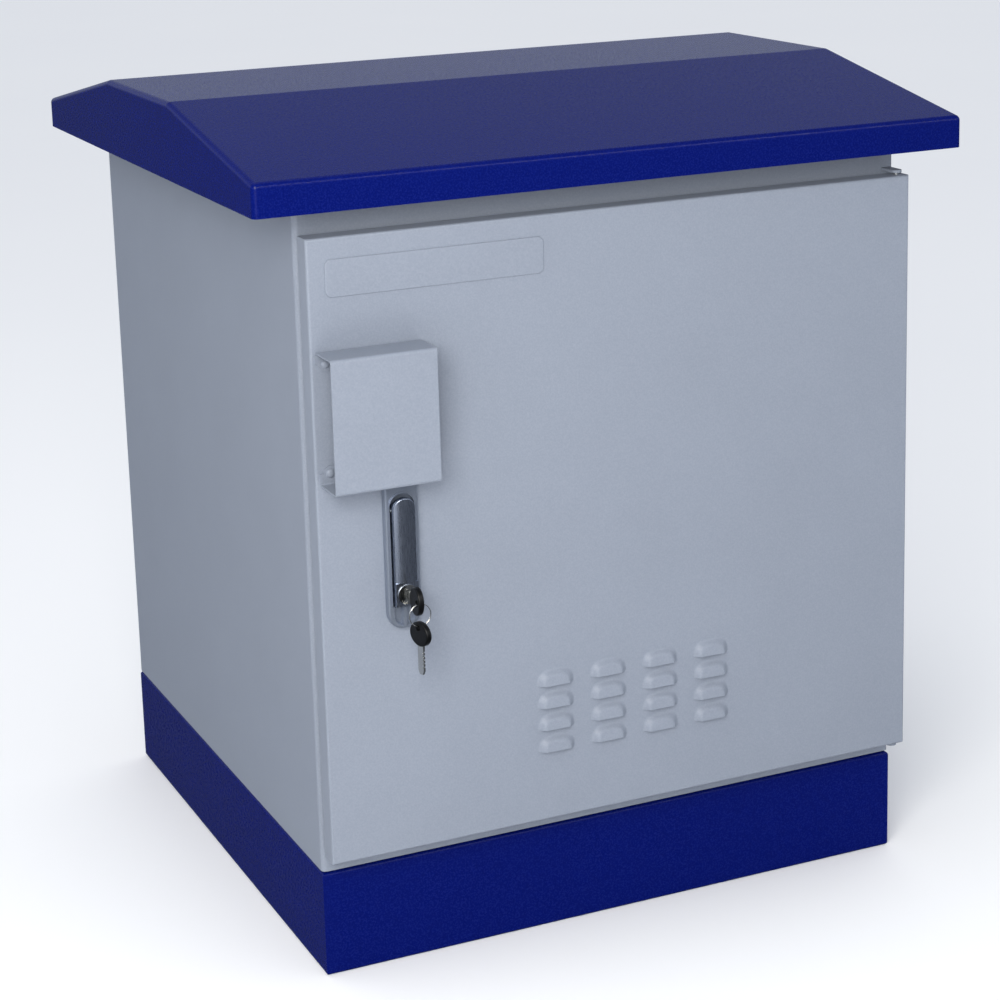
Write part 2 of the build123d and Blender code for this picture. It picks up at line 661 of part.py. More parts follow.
# Bolts that hold the rails on the crossbars
with BuildPart() as rail_bolts:
    for sign in (-1, 1):
        places = [(y, z) for y in (-rail_bolt_y, rail_bolt_y) for z in rail_bolt_levels]
        head_x = sign * (CROSSBAR_X - RAIL_SHEET)
        with BuildSketch(side_view(head_x)):
            with Locations(*places):
                RegularPolygon(RAIL_BOLT_HEAD / 2, side_count=6, major_radius=False)
        extrude(amount=sign * RAIL_BOLT_HEAD_HEIGHT)
        with BuildSketch(side_view(head_x)):
            with Locations(*places):
                Circle(RAIL_BOLT / 2)
        extrude(amount=-sign * (2 * RAIL_SHEET + RAIL_BOLT))
save(rail_bolts, "rail_bolts")

# Rubber grommets in the floor's cable entries
for side, sign in (("left", -1), ("right", 1)):
    bore = CABLE_BORE / 2
    groove = bore + CABLE_WALL - SEAT_CLEAR
    rim = bore + CABLE_WALL + CABLE_LIP
    floor_low = BODY_BASE - SEAT_CLEAR / 2
    floor_high = BODY_BASE + BODY_SHEET + SEAT_CLEAR / 2
    grommet_outline = (
        (bore, floor_low - CABLE_LIP_HEIGHT),
        (rim, floor_low - CABLE_LIP_HEIGHT),
        (rim, floor_low),
        (groove, floor_low),
        (groove, floor_high),
        (rim, floor_high),
        (rim, floor_high + CABLE_LIP_HEIGHT),
        (bore, floor_high + CABLE_LIP_HEIGHT),
    )
    with BuildPart() as cable_grommet:
        with BuildSketch(Plane(origin=(sign * CABLE_X, CABLE_Y, 0), x_dir=(1, 0, 0), z_dir=(0, -1, 0))):
            with BuildLine():
                Polyline(*grommet_outline, close=True)
            make_face()
        revolve(axis=Axis((sign * CABLE_X, CABLE_Y, 0), (0, 0, 1)))
    save(cable_grommet, f"cable_grommet_{side}")

# Earth stud with its nut, welded to the floor pan
with BuildPart() as earth_stud:
    with BuildSketch(plan_view(BODY_BASE + BODY_SHEET)):
        with Locations((0, EARTH_Y)):
            Circle(EARTH_STUD / 2)
    extrude(amount=EARTH_STUD_LENGTH)
    chamfer(earth_stud.faces().sort_by(Axis.Z)[-1].edges(), length=BEND)
save(earth_stud, "earth_stud")

with BuildPart() as earth_nut:
    with BuildSketch(plan_view(BODY_BASE + BODY_SHEET)):
        with Locations((0, EARTH_Y)):
            RegularPolygon(EARTH_NUT / 2, side_count=6, major_radius=False)
            Circle(EARTH_STUD / 2 + BOLT_CLEAR, mode=Mode.SUBTRACT)
    extrude(amount=EARTH_NUT_HEIGHT)
save(earth_nut, "earth_nut")

# Hinge tabs: flat bars welded in the frame, one over and one under the door
for name, (ear_z, up) in tab_levels.items():
    with BuildPart() as hinge_tab:
        with BuildSketch(plan_view(ear_z)):
            with Locations((HINGE_X, -HINGE_REACH)):
                Circle(HINGE_TAB_WIDTH / 2)
                tab_length = HINGE_REACH - FRONT + BODY_SHEET - SEAT_CLEAR
                Rectangle(HINGE_TAB_WIDTH, tab_length, align=(Align.CENTER, Align.MIN))
                Circle(HINGE_PIN / 2 + RUNNING_CLEAR, mode=Mode.SUBTRACT)
        extrude(amount=up * HINGE_SHEET)
    save(hinge_tab, f"hinge_tab_{name}")

    with BuildPart() as hinge_pin:
        with BuildSketch(plan_view(ear_z + up * HINGE_SHEET)):
            with Locations((HINGE_X, -HINGE_REACH)):
                Circle(HINGE_PIN / 2)
        extrude(amount=-up * (HINGE_SHEET + HINGE_TAB_GAP + HINGE_PIN_DEPTH))
    save(hinge_pin, f"hinge_pin_{name}")

# Washer that carries the door on the lower tab
with BuildPart() as hinge_washer:
    with BuildSketch(plan_view(DOOR_LOW - HINGE_TAB_GAP)):
        with Locations((HINGE_X, -HINGE_REACH)):
            Circle(HINGE_WASHER / 2)
            Circle(HINGE_PIN / 2 + SEAT_CLEAR, mode=Mode.SUBTRACT)
    extrude(amount=HINGE_TAB_GAP - SEAT_CLEAR)
save(hinge_washer, "hinge_washer")


# Door
def louvre_form(width, height, rise, end_round, corner):
    """Hood of a pressed louvre: an arc upright at the slit, with rounded ends and lower corners."""
    with BuildPart() as form:
        with BuildSketch(SIDE_VIEW):
            with BuildLine():
                hood = TangentArc((rise, 0), (0, height), tangent=(0, 1))
                Polyline(hood @ 1, (0, 0), hood @ 0)
            make_face()
        extrude(amount=width / 2, both=True)
        fillet(form.edges().filter_by(GeomType.CIRCLE), radius=end_round)
        with BuildSketch(Plane.XZ) as window:
            Rectangle(width, 2 * height, align=(Align.CENTER, Align.MIN))
            fillet(window.vertices().group_by(Axis.Y)[0], radius=corner)
        extrude(amount=2 * rise, both=True, mode=Mode.INTERSECT)
    return form.part


louvre_middle_z = LOUVRE_LIP_Z + LOUVRE_HEIGHT / 2
louvre_places = [
    (
        LOUVRE_X + (column - (LOUVRE_COLUMNS - 1) / 2) * LOUVRE_PITCH_X,
        -DOOR_FACE,
        LOUVRE_LIP_Z + (row - (LOUVRE_ROWS - 1) / 2) * LOUVRE_PITCH_Z,
    )
    for column in range(LOUVRE_COLUMNS)
    for row in range(LOUVRE_ROWS)
]
louvre_hood = louvre_form(LOUVRE_WIDTH, LOUVRE_HEIGHT, LOUVRE_RISE, LOUVRE_END, LOUVRE_CORNER)
with BuildPart() as louvre_opening:
    add(
        louvre_form(
            LOUVRE_WIDTH - 2 * DOOR_SHEET,
            LOUVRE_HEIGHT - DOOR_SHEET,
            LOUVRE_RISE - DOOR_SHEET,
            LOUVRE_END - DOOR_SHEET,
            LOUVRE_CORNER - DOOR_SHEET,
        )
    )
    extrude(louvre_opening.faces().sort_by(Axis.Y)[-1], amount=DOOR_SHEET + OVERRUN)
rivet_places = [
    (HOOD_X + x, HOOD_Z + z)
    for x in (RIVET_EDGE_X - HOOD_WIDTH / 2, HOOD_WIDTH / 2 - RIVET_EDGE_X)
    for z in (RIVET_EDGE_Z - HOOD_HEIGHT / 2, HOOD_HEIGHT / 2 - RIVET_EDGE_Z)
]
with BuildPart() as door_panel:
    with BuildSketch(front_view(DOOR_BACK)):
        with Locations((0, DOOR_MIDDLE_Z)):
            Rectangle(2 * DOOR_X, DOOR_HEIGHT)
    extrude(amount=DOOR_DEPTH)
    fillet(door_panel.faces().sort_by(Axis.Y)[0].edges(), radius=DOOR_EDGE)
    offset(amount=-DOOR_SHEET, openings=door_panel.faces().sort_by(Axis.Y)[-1])
    # raised badge field, pressed out of the sheet and left bare
    with BuildSketch(front_view(DOOR_FACE)):
        with Locations((BADGE_X, BADGE_Z)):
            RectangleRounded(BADGE_WIDTH, BADGE_HEIGHT, BADGE_CORNER)
    extrude(amount=BADGE_RISE)
    fillet(door_panel.faces().sort_by(Axis.Y)[0].edges(), radius=BADGE_SOFT)
    with BuildSketch(front_view(DOOR_INNER)):
        with Locations((BADGE_X, BADGE_Z)):
            inner_corner = BADGE_CORNER - BADGE_RISE
            RectangleRounded(BADGE_WIDTH - 2 * BADGE_RISE, BADGE_HEIGHT - 2 * BADGE_RISE, inner_corner)
    extrude(amount=BADGE_RISE, mode=Mode.SUBTRACT)
    # holes for the lock, the hood's rivets and the hinge pins
    with BuildSketch(front_view(DOOR_FACE)):
        with Locations((HANDLE_X, PIVOT_Z)):
            Circle(COLLAR / 2 + HOLE_CLEAR)
        with Locations((HANDLE_X, LOCK_Z)):
            Circle(BARREL_PORT / 2)
        with Locations(*rivet_places):
            Circle(RIVET_BORE / 2 + BOLT_CLEAR)
    extrude(amount=-DOOR_SHEET - OVERRUN, mode=Mode.SUBTRACT)
    with BuildSketch(plan_view(DOOR_LOW - OVERRUN)):
        with Locations((HINGE_X, -HINGE_REACH)):
            Circle(HINGE_PIN / 2 + HOLE_CLEAR)
    extrude(amount=DOOR_HEIGHT + 2 * OVERRUN, mode=Mode.SUBTRACT)
    # louvres: pressed outwards, slit open along their lower edge
    with Locations(*louvre_places):
        add(louvre_hood)
    with Locations(*louvre_places):
        add(louvre_opening.part, mode=Mode.SUBTRACT)
save(door_panel, "door_panel")

# Foam gasket round the inside of the door, meeting the frame's sealing lip
gasket_width = 2 * (LIP_X - BODY_SHEET / 2)
gasket_height = HEAD_Z - SILL_Z + BODY_SHEET
with BuildPart() as door_gasket:
    with BuildSketch(front_view(DOOR_INNER)):
        with Locations((0, DOOR_MIDDLE_Z)):
            RectangleRounded(gasket_width + GASKET_WIDTH, gasket_height + GASKET_WIDTH, GASKET_CORNER)
            Rectangle(gasket_width - GASKET_WIDTH, gasket_height - GASKET_WIDTH, mode=Mode.SUBTRACT)
    extrude(amount=FRONT + SEAL_LIP + GASKET_CLEAR - DOOR_INNER)
save(door_gasket, "door_gasket")

# Hinge blocks that carry the pins inside the door's top and bottom returns
for name, block_z, up in (("upper", DOOR_HIGH - DOOR_SHEET, -1), ("lower", DOOR_LOW + DOOR_SHEET, 1)):
    with BuildPart() as hinge_block:
        with BuildSketch(plan_view(block_z)):
            with Locations((HINGE_X, BEND - DOOR_INNER + HINGE_BLOCK_DEPTH / 2)):
                RectangleRounded(HINGE_BLOCK_WIDTH, HINGE_BLOCK_DEPTH, BEND)
            with Locations((HINGE_X, -HINGE_REACH)):
                Circle(HINGE_PIN / 2 + RUNNING_CLEAR, mode=Mode.SUBTRACT)
        extrude(amount=up * HINGE_BLOCK_HEIGHT)
    save(hinge_block, f"hinge_block_{name}")

# Filter holder and filter mat behind the louvres
filter_width = LOUVRE_WIDTH + (LOUVRE_COLUMNS - 1) * LOUVRE_PITCH_X + FILTER_MARGIN
filter_height = LOUVRE_HEIGHT + (LOUVRE_ROWS - 1) * LOUVRE_PITCH_Z + FILTER_MARGIN
with BuildPart() as filter_frame:
    with BuildSketch(front_view(DOOR_INNER)):
        with Locations((LOUVRE_X, louvre_middle_z)):
            Rectangle(filter_width + 2 * FILTER_RIM, filter_height + 2 * FILTER_RIM)
            Rectangle(filter_width, filter_height, mode=Mode.SUBTRACT)
    extrude(amount=-FILTER_DEPTH)
    with BuildSketch(front_view(DOOR_INNER - FILTER_MAT_DEPTH)):
        with Locations((LOUVRE_X, louvre_middle_z)):
            Rectangle(filter_width + FILTER_RIM, filter_height + FILTER_RIM)
            Rectangle(filter_width - FILTER_RIM, filter_height - FILTER_RIM, mode=Mode.SUBTRACT)
    extrude(amount=FILTER_MAT_DEPTH - FILTER_DEPTH)
save(filter_frame, "filter_frame")

with BuildPart() as filter_mat:
    with BuildSketch(front_view(DOOR_INNER)):
        with Locations((LOUVRE_X, louvre_middle_z)):
            Rectangle(filter_width - SEAT_CLEAR, filter_height - SEAT_CLEAR)
    extrude(amount=-FILTER_MAT_DEPTH)
save(filter_mat, "filter_mat")

# Rain hood: a lipped channel riveted on the door, open at both ends
hood_front = DOOR_FACE + HOOD_DEPTH
hood_low = HOOD_Z - HOOD_HEIGHT / 2
hood_high = HOOD_Z + HOOD_HEIGHT / 2
hood_outline = (
    (DOOR_FACE, hood_high - HOOD_TAB),
    (DOOR_FACE, hood_high),
    (hood_front, hood_high),
    (hood_front, hood_low),
    (DOOR_FACE, hood_low),
    (DOOR_FACE, hood_low + HOOD_TAB),
)
with BuildPart() as lock_hood:
    strip = folded_strip(side_view(HOOD_X), hood_outline, BEND + DOOR_SHEET, DOOR_SHEET, Side.RIGHT)
    extrude(strip, amount=HOOD_WIDTH / 2, both=True)
    with BuildSketch(front_view(DOOR_FACE)):
        with Locations(*rivet_places):
            Circle(RIVET_EAR)
    extrude(amount=DOOR_SHEET)
    with BuildSketch(front_view(DOOR_FACE)):
        with Locations(*rivet_places):
            Circle(RIVET_BORE / 2 + BOLT_CLEAR)
    extrude(amount=DOOR_SHEET + BEND, mode=Mode.SUBTRACT)
save(lock_hood, "lock_hood")

with BuildPart() as hood_rivets:
    with BuildSketch(front_view(DOOR_FACE + DOOR_SHEET)):
        with Locations(*rivet_places):
            Circle(RIVET_HEAD / 2)
    extrude(amount=RIVET_HEAD_HEIGHT)
    chamfer(hood_rivets.faces().filter_by(Axis.Y).group_by(Axis.Y)[0].edges(), length=RIVET_HEAD_HEIGHT / 2)
    with BuildSketch(front_view(DOOR_FACE + DOOR_SHEET)):
        with Locations(*rivet_places):
            Circle(RIVET_BORE / 2)
    extrude(amount=-2 * DOOR_SHEET - RIVET_TAIL_LENGTH)
    with BuildSketch(front_view(DOOR_INNER)):
        with Locations(*rivet_places):
            Circle(RIVET_TAIL / 2)
    extrude(amount=-RIVET_TAIL_LENGTH)
save(hood_rivets, "hood_rivets")

# Lock escutcheon: die-cast dish with a finger scoop and a collar through the door
escutcheon_length = ESCUTCHEON_HIGH - ESCUTCHEON_LOW - ESCUTCHEON_WIDTH / 2
dish_width = GRIP_WIDTH + 2 * DISH_MARGIN
dish_high = GRIP_HIGH + DISH_HEAD
dish_low = GRIP_LOW - DISH_MARGIN
dish_straight = dish_high - dish_low - dish_width / 2
scoop_width = GRIP_WIDTH - DISH_MARGIN
with BuildPart() as handle_escutcheon:
    with BuildSketch(front_view(DOOR_FACE)) as plate:
        with Locations((HANDLE_X, ESCUTCHEON_LOW + ESCUTCHEON_WIDTH / 2)):
            Circle(ESCUTCHEON_WIDTH / 2)
            Rectangle(ESCUTCHEON_WIDTH, escutcheon_length, align=(Align.CENTER, Align.MIN))
        fillet(plate.vertices().group_by(Axis.Y)[-1], radius=ESCUTCHEON_CORNER)
    extrude(amount=ESCUTCHEON_RISE)
    fillet(handle_escutcheon.faces().sort_by(Axis.Y)[0].edges(), radius=ESCUTCHEON_ROUND)
    # raised rim, then the dish inside it
    with BuildSketch(front_view(DISH_FLOOR)):
        with Locations((HANDLE_X, dish_low)):
            Rectangle(dish_width + 2 * DISH_RIM, dish_straight, align=(Align.CENTER, Align.MIN))
        with Locations((HANDLE_X, dish_low + dish_straight)):
            Circle(dish_width / 2 + DISH_RIM)
    extrude(amount=ESCUTCHEON_RISE - ESCUTCHEON_FLOOR + DISH_RIM_RISE)
    with BuildSketch(front_view(DISH_FLOOR)):
        with Locations((HANDLE_X, dish_low)):
            Rectangle(dish_width, dish_straight, align=(Align.CENTER, Align.MIN))
        with Locations((HANDLE_X, dish_low + dish_straight)):
            Circle(dish_width / 2)
    extrude(amount=ESCUTCHEON_RISE + DISH_RIM_RISE, mode=Mode.SUBTRACT)
    # finger scoop under the grip's end, with a rib down its middle
    with BuildSketch(front_view(DOOR_FACE + ESCUTCHEON_RISE)):
        with Locations((HANDLE_X, dish_low)):
            Rectangle(scoop_width, SCOOP_LENGTH - scoop_width / 2, align=(Align.CENTER, Align.MAX))
        with Locations((HANDLE_X, dish_low - SCOOP_LENGTH + scoop_width / 2)):
            Circle(scoop_width / 2)
        with Locations((HANDLE_X, dish_low)):
            Rectangle(scoop_width, scoop_width, align=(Align.CENTER, Align.MIN), mode=Mode.SUBTRACT)
            Rectangle(SCOOP_RIB, SCOOP_LENGTH, align=(Align.CENTER, Align.MAX), mode=Mode.SUBTRACT)
    extrude(amount=-SCOOP_DEPTH, taper=SCOOP_TAPER, mode=Mode.SUBTRACT)
    # collar that carries the spindle, and the port for the lock cylinder
    with BuildSketch(front_view(DOOR_FACE)):
        with Locations((HANDLE_X, PIVOT_Z)):
            Circle(COLLAR / 2)
    extrude(amount=-DOOR_SHEET - COLLAR_LENGTH)
    with BuildSketch(front_view(DISH_FLOOR)):
        with Locations((HANDLE_X, PIVOT_Z)):
            Circle(SPINDLE / 2 + RUNNING_CLEAR)
    extrude(amount=-ESCUTCHEON_FLOOR - DOOR_SHEET - COLLAR_LENGTH - OVERRUN, mode=Mode.SUBTRACT)
    with BuildSketch(front_view(DISH_FLOOR)):
        with Locations((HANDLE_X, LOCK_Z)):
            Circle(BARREL_PORT / 2)
    extrude(amount=-ESCUTCHEON_FLOOR - OVERRUN, mode=Mode.SUBTRACT)
save(handle_escutcheon, "handle_escutcheon")

# Grip: a hollow bar that tilts out of the dish about a pin near its top
pivot_back = PIVOT - GRIP_BACK
cavity_width = SPINDLE_HEAD_WIDTH + HOLE_CLEAR
cavity_low = PIVOT_Z - SPINDLE_HEAD_HEIGHT / 2 - HOLE_CLEAR
cavity_high = PIVOT_Z + SPINDLE_HEAD_HEIGHT
cavity_front = PIVOT + SPINDLE_HEAD_HEIGHT / 2 + HOLE_CLEAR
with BuildPart() as handle_grip:
    with BuildSketch(side_view(HANDLE_X)):
        with BuildLine():
            crest = (PIVOT + GRIP_CREST_SHARE * pivot_back, GRIP_HIGH)
            heel = CenterArc((PIVOT, PIVOT_Z), pivot_back, start_angle=180 - HEEL_ARC, arc_size=HEEL_ARC)
            Polyline(
                heel @ 1,
                (GRIP_BACK, GRIP_LOW),
                (GRIP_FRONT - GRIP_STEP, GRIP_LOW),
                (GRIP_FRONT - GRIP_STEP, GRIP_STEP_Z),
                (GRIP_FRONT + GRIP_CROWN, GRIP_STEP_Z),
                (GRIP_FRONT + GRIP_CROWN, GRIP_HIGH),
                crest,
                heel @ 0,
            )
        make_face()
    extrude(amount=GRIP_WIDTH / 2, both=True)
    with BuildSketch(front_view(GRIP_BACK - OVERRUN)):
        with Locations((HANDLE_X, GRIP_LOW)):
            Rectangle(GRIP_WIDTH, GRIP_HIGH - GRIP_LOW - GRIP_WIDTH / 2, align=(Align.CENTER, Align.MIN))
        with Locations((HANDLE_X, GRIP_HIGH - GRIP_WIDTH / 2)):
            Circle(GRIP_WIDTH / 2)
    extrude(amount=GRIP_THICK + 2 * OVERRUN, mode=Mode.INTERSECT)
    # crowned face above the lock
    with BuildSketch(plan_view(GRIP_STEP_Z)):
        with BuildLine():
            crown = ThreePointArc(
                (HANDLE_X - GRIP_WIDTH / 2, GRIP_CROWN - GRIP_FRONT),
                (HANDLE_X, -GRIP_FRONT),
                (HANDLE_X + GRIP_WIDTH / 2, GRIP_CROWN - GRIP_FRONT),
            )
            Polyline(
                crown @ 1,
                (HANDLE_X + GRIP_WIDTH / 2, -GRIP_FRONT - OVERRUN),
                (HANDLE_X - GRIP_WIDTH / 2, -GRIP_FRONT - OVERRUN),
                crown @ 0,
            )
        make_face()
    extrude(amount=GRIP_HIGH - GRIP_STEP_Z + OVERRUN, mode=Mode.SUBTRACT)
    crowned = handle_grip.faces().filter_by(GeomType.CYLINDER).sort_by(Axis.Y)[0]
    fillet(crowned.edges().filter_by(lambda edge: edge.center().Z > GRIP_STEP_Z + BEND), radius=GRIP_ROUND)
    # cavity for the spindle's head, bore for the pin, seat for the lock cylinder
    with BuildSketch(side_view(HANDLE_X)):
        with Locations((GRIP_BACK - OVERRUN, cavity_low)):
            Rectangle(cavity_front - GRIP_BACK + OVERRUN, cavity_high - cavity_low, align=Align.MIN)
    extrude(amount=cavity_width / 2, both=True, mode=Mode.SUBTRACT)
    with BuildSketch(side_view(HANDLE_X)):
        with Locations((PIVOT, PIVOT_Z)):
            Circle(PIVOT_PIN / 2 + RUNNING_CLEAR)
    extrude(amount=GRIP_WIDTH, both=True, mode=Mode.SUBTRACT)
    with BuildSketch(front_view(GRIP_BACK)):
        with Locations((HANDLE_X, LOCK_Z)):
            Circle(BARREL / 2 + BOLT_CLEAR)
    extrude(amount=GRIP_THICK, mode=Mode.SUBTRACT)
save(handle_grip, "handle_grip")

# Pin of the grip, held in the spindle's head
with BuildPart() as grip_pin:
    with BuildSketch(side_view(HANDLE_X)):
        with Locations((PIVOT, PIVOT_Z)):
            Circle(PIVOT_PIN / 2)
    extrude(amount=GRIP_WIDTH / 2 - GRIP_SEAT, both=True)
save(grip_pin, "grip_pin")

# Spindle: turned shaft with a flat head for the pin and a square for the tongue
with BuildPart() as handle_spindle:
    with BuildSketch(front_view(DISH_FLOOR)):
        with Locations((HANDLE_X, PIVOT_Z)):
            Circle(SPINDLE / 2)
    extrude(amount=SPINDLE_END - DISH_FLOOR)
    with BuildSketch(side_view(HANDLE_X)):
        with Locations((DISH_FLOOR - BEND, PIVOT_Z)):
            Rectangle(PIVOT - DISH_FLOOR + BEND, SPINDLE_HEAD_HEIGHT, align=(Align.MIN, Align.CENTER))
        with Locations((PIVOT, PIVOT_Z)):
            Circle(SPINDLE_HEAD_HEIGHT / 2)
            Circle(PIVOT_PIN / 2 + RUNNING_CLEAR, mode=Mode.SUBTRACT)
    extrude(amount=SPINDLE_HEAD_WIDTH / 2, both=True)
    with BuildSketch(front_view(SPINDLE_END)):
        with Locations((HANDLE_X, PIVOT_Z)):
            Rectangle(SPINDLE_SQUARE, SPINDLE_SQUARE)
    extrude(amount=TONGUE_REACH - TONGUE_SHEET - SPINDLE_END)
save(handle_spindle, "handle_spindle")

# Clamp plate and ring nut that hold the lock on the inside of the door
clamp_length = PIVOT_Z - LOCK_Z + CLAMP_WIDTH
with BuildPart() as lock_clamp:
    with BuildSketch(front_view(DOOR_INNER)):
        with Locations((HANDLE_X, (PIVOT_Z + LOCK_Z) / 2)):
            SlotOverall(clamp_length, CLAMP_WIDTH, rotation=90)
        with Locations((HANDLE_X, PIVOT_Z)):
            Circle(COLLAR / 2 + BOLT_CLEAR, mode=Mode.SUBTRACT)
        with Locations((HANDLE_X, LOCK_Z)):
            Circle(BARREL_PORT / 2, mode=Mode.SUBTRACT)
    extrude(amount=-CLAMP_SHEET)
save(lock_clamp, "lock_clamp")

with BuildPart() as lock_nut:
    with BuildSketch(front_view(DOOR_INNER - CLAMP_SHEET)):
        with Locations((HANDLE_X, PIVOT_Z)):
            RegularPolygon(LOCK_NUT / 2, side_count=6, major_radius=False)
            Circle(COLLAR / 2 + BOLT_CLEAR, mode=Mode.SUBTRACT)
    extrude(amount=-LOCK_NUT_HEIGHT)
save(lock_nut, "lock_nut")

# Tongue, turned down to its released place, and the bolt that holds it
tongue_square = SPINDLE_SQUARE + 2 * RUNNING_CLEAR
with BuildPart() as lock_tongue:
    with BuildSketch(front_view(TONGUE_REACH)):
        with Locations((HANDLE_X, PIVOT_Z + TONGUE_WIDTH / 2 - TONGUE_LENGTH / 2)):
            SlotOverall(TONGUE_LENGTH, TONGUE_WIDTH, rotation=90)
        with Locations((HANDLE_X, PIVOT_Z)):
            Rectangle(tongue_square, tongue_square, mode=Mode.SUBTRACT)
    extrude(amount=-TONGUE_SHEET)
save(lock_tongue, "lock_tongue")

with BuildPart() as tongue_bolt:
    with BuildSketch(front_view(TONGUE_REACH - TONGUE_SHEET)):
        with Locations((HANDLE_X, PIVOT_Z)):
            RegularPolygon(TONGUE_BOLT_HEAD / 2, side_count=6, major_radius=False)
    extrude(amount=-TONGUE_BOLT_HEIGHT)
save(tongue_bolt, "tongue_bolt")

# Lock cylinder: barrel pressed in the grip, and the plug that the key turns
barrel_seat = GRIP_FRONT - GRIP_STEP
with BuildPart() as lock_barrel:
    with BuildSketch(front_view(barrel_seat)):
        with Locations((HANDLE_X, LOCK_Z)):
            Circle(BARREL_RIM / 2)
    extrude(amount=BARREL_RIM_HEIGHT)
    with BuildSketch(front_view(barrel_seat)):
        with Locations((HANDLE_X, LOCK_Z)):
            Circle(BARREL / 2)
    extrude(amount=-BARREL_LENGTH)
    with BuildSketch(front_view(PLUG_FACE)):
        with Locations((HANDLE_X, LOCK_Z)):
            Circle(PLUG / 2 + RUNNING_CLEAR)
    extrude(amount=-PLUG_LENGTH - SEAT_CLEAR, mode=Mode.SUBTRACT)
save(lock_barrel, "lock_barrel")

with BuildPart() as lock_plug:
    with BuildSketch(front_view(PLUG_FACE)):
        with Locations((HANDLE_X, LOCK_Z)):
            Circle(PLUG / 2)
            Rectangle(KEYWAY_WIDTH, KEYWAY_HEIGHT, mode=Mode.SUBTRACT)
    extrude(amount=-PLUG_LENGTH)
save(lock_plug, "lock_plug")


# Keys: a flat blade with bitting cuts, in an oval moulded bow
def key_blade(plane):
    """Blade in a plane whose x runs from the tip to the bow, with its origin at the bow's middle."""
    socket = BOW_SOCKET - BOW_LENGTH / 2
    tip = -KEY_BLADE_LENGTH - BOW_LENGTH / 2
    half = KEY_BLADE_HEIGHT / 2
    narrow = half * KEY_BLADE_TAPER_SHARE
    cut_pitch = KEY_INSERTED / KEY_CUT_COUNT
    with BuildPart() as blade:
        with BuildSketch(plane):
            with BuildLine():
                Polyline(
                    (socket, -half),
                    (socket, half),
                    (tip + half, half),
                    (tip, narrow),
                    (tip, -narrow),
                    (tip + half, -half),
                    close=True,
                )
            make_face()
            with Locations(*[(tip + half + cut_pitch * (cut + 1), -half) for cut in range(KEY_CUT_COUNT)]):
                Rectangle(KEY_CUT, 2 * KEY_CUT, rotation=45, mode=Mode.SUBTRACT)
        extrude(amount=KEY_SHEET / 2, both=True)
    return blade.part


def key_bow(plane):
    """Oval bow in the same plane, with a ring hole at its outer end and a socket for the blade."""
    with BuildPart() as bow:
        with BuildSketch(plane):
            Ellipse(BOW_LENGTH / 2, BOW_HEIGHT / 2)
        extrude(amount=BOW_THICK / 2, both=True)
        fillet(bow.edges(), radius=BOW_ROUND)
        with BuildSketch(plane):
            with Locations((BOW_HOLE_SHIFT, 0)):
                Circle(BOW_HOLE / 2)
        extrude(amount=BOW_THICK, both=True, mode=Mode.SUBTRACT)
        with BuildSketch(plane):
            with Locations((-BOW_LENGTH / 2 - OVERRUN, 0)):
                Rectangle(BOW_SOCKET + OVERRUN, KEY_BLADE_HEIGHT, align=(Align.MIN, Align.CENTER))
        extrude(amount=KEY_SHEET / 2, both=True, mode=Mode.SUBTRACT)
    return bow.part


key_plane = Plane(origin=(HANDLE_X, -BOW_REACH, LOCK_Z), x_dir=(0, -1, 0), z_dir=(-1, 0, 0))
spare_normal = (-cos(radians(SPARE_TURN)), -sin(radians(SPARE_TURN)), 0)
spare_plane = Plane(origin=(HANDLE_X, -RING_REACH, SPARE_Z), x_dir=(0, 0, 1), z_dir=spare_normal)
for name, plane in (("key", key_plane), ("spare_key", spare_plane)):
    with BuildPart() as blade_piece:
        add(key_blade(plane))
    save(blade_piece, f"{name}_blade")
    with BuildPart() as bow_piece:
        add(key_bow(plane))
    save(bow_piece, f"{name}_bow")

# Wire ring through both bows
with BuildPart() as key_ring:
    with Locations(Plane(origin=(HANDLE_X, -RING_REACH, RING_Z), z_dir=(0, -1, 0))):
        Torus(RING_RADIUS, RING_WIRE / 2)
save(key_ring, "key_ring")
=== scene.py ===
# %% [markdown]
# An outdoor rack cabinet: a folded steel box on a blue plinth, under a blue pitched canopy,
# with a louvred door, a small rain hood and a swing-handle lock. The solids come from the
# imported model. This script adds the finishes, the small pressed, turned and wound pieces that
# a camera notices, and a soft studio.

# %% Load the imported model
import json
import math

import bmesh
import bpy
import numpy as np
from mathutils import Matrix, Vector


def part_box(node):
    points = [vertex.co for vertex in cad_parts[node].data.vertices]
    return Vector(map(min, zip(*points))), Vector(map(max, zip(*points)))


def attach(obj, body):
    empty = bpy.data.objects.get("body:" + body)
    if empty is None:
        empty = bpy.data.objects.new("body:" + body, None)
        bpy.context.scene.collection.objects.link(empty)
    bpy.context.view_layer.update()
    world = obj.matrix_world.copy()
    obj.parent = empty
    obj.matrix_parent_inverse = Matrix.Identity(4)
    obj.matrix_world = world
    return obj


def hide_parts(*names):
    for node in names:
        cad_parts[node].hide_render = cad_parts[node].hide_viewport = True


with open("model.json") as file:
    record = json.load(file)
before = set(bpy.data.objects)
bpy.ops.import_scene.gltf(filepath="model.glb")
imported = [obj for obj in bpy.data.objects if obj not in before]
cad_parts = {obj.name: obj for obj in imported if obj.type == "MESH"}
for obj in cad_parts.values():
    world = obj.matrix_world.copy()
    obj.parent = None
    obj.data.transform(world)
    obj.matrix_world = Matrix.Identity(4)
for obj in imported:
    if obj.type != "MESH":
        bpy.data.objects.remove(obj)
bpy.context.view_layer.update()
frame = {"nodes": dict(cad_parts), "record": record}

# %% [markdown]
# Every finish below is built from the same few small tools. The first turns a colour as a
# designer writes it, an sRGB hex value, into the linear numbers that a shader needs. The second
# adds one node with its settings, its fixed values and its links, so that a whole material
# reads as a short list. The third starts a material with its shader and its output.

# %% Colour and node tools
MM = 0.001


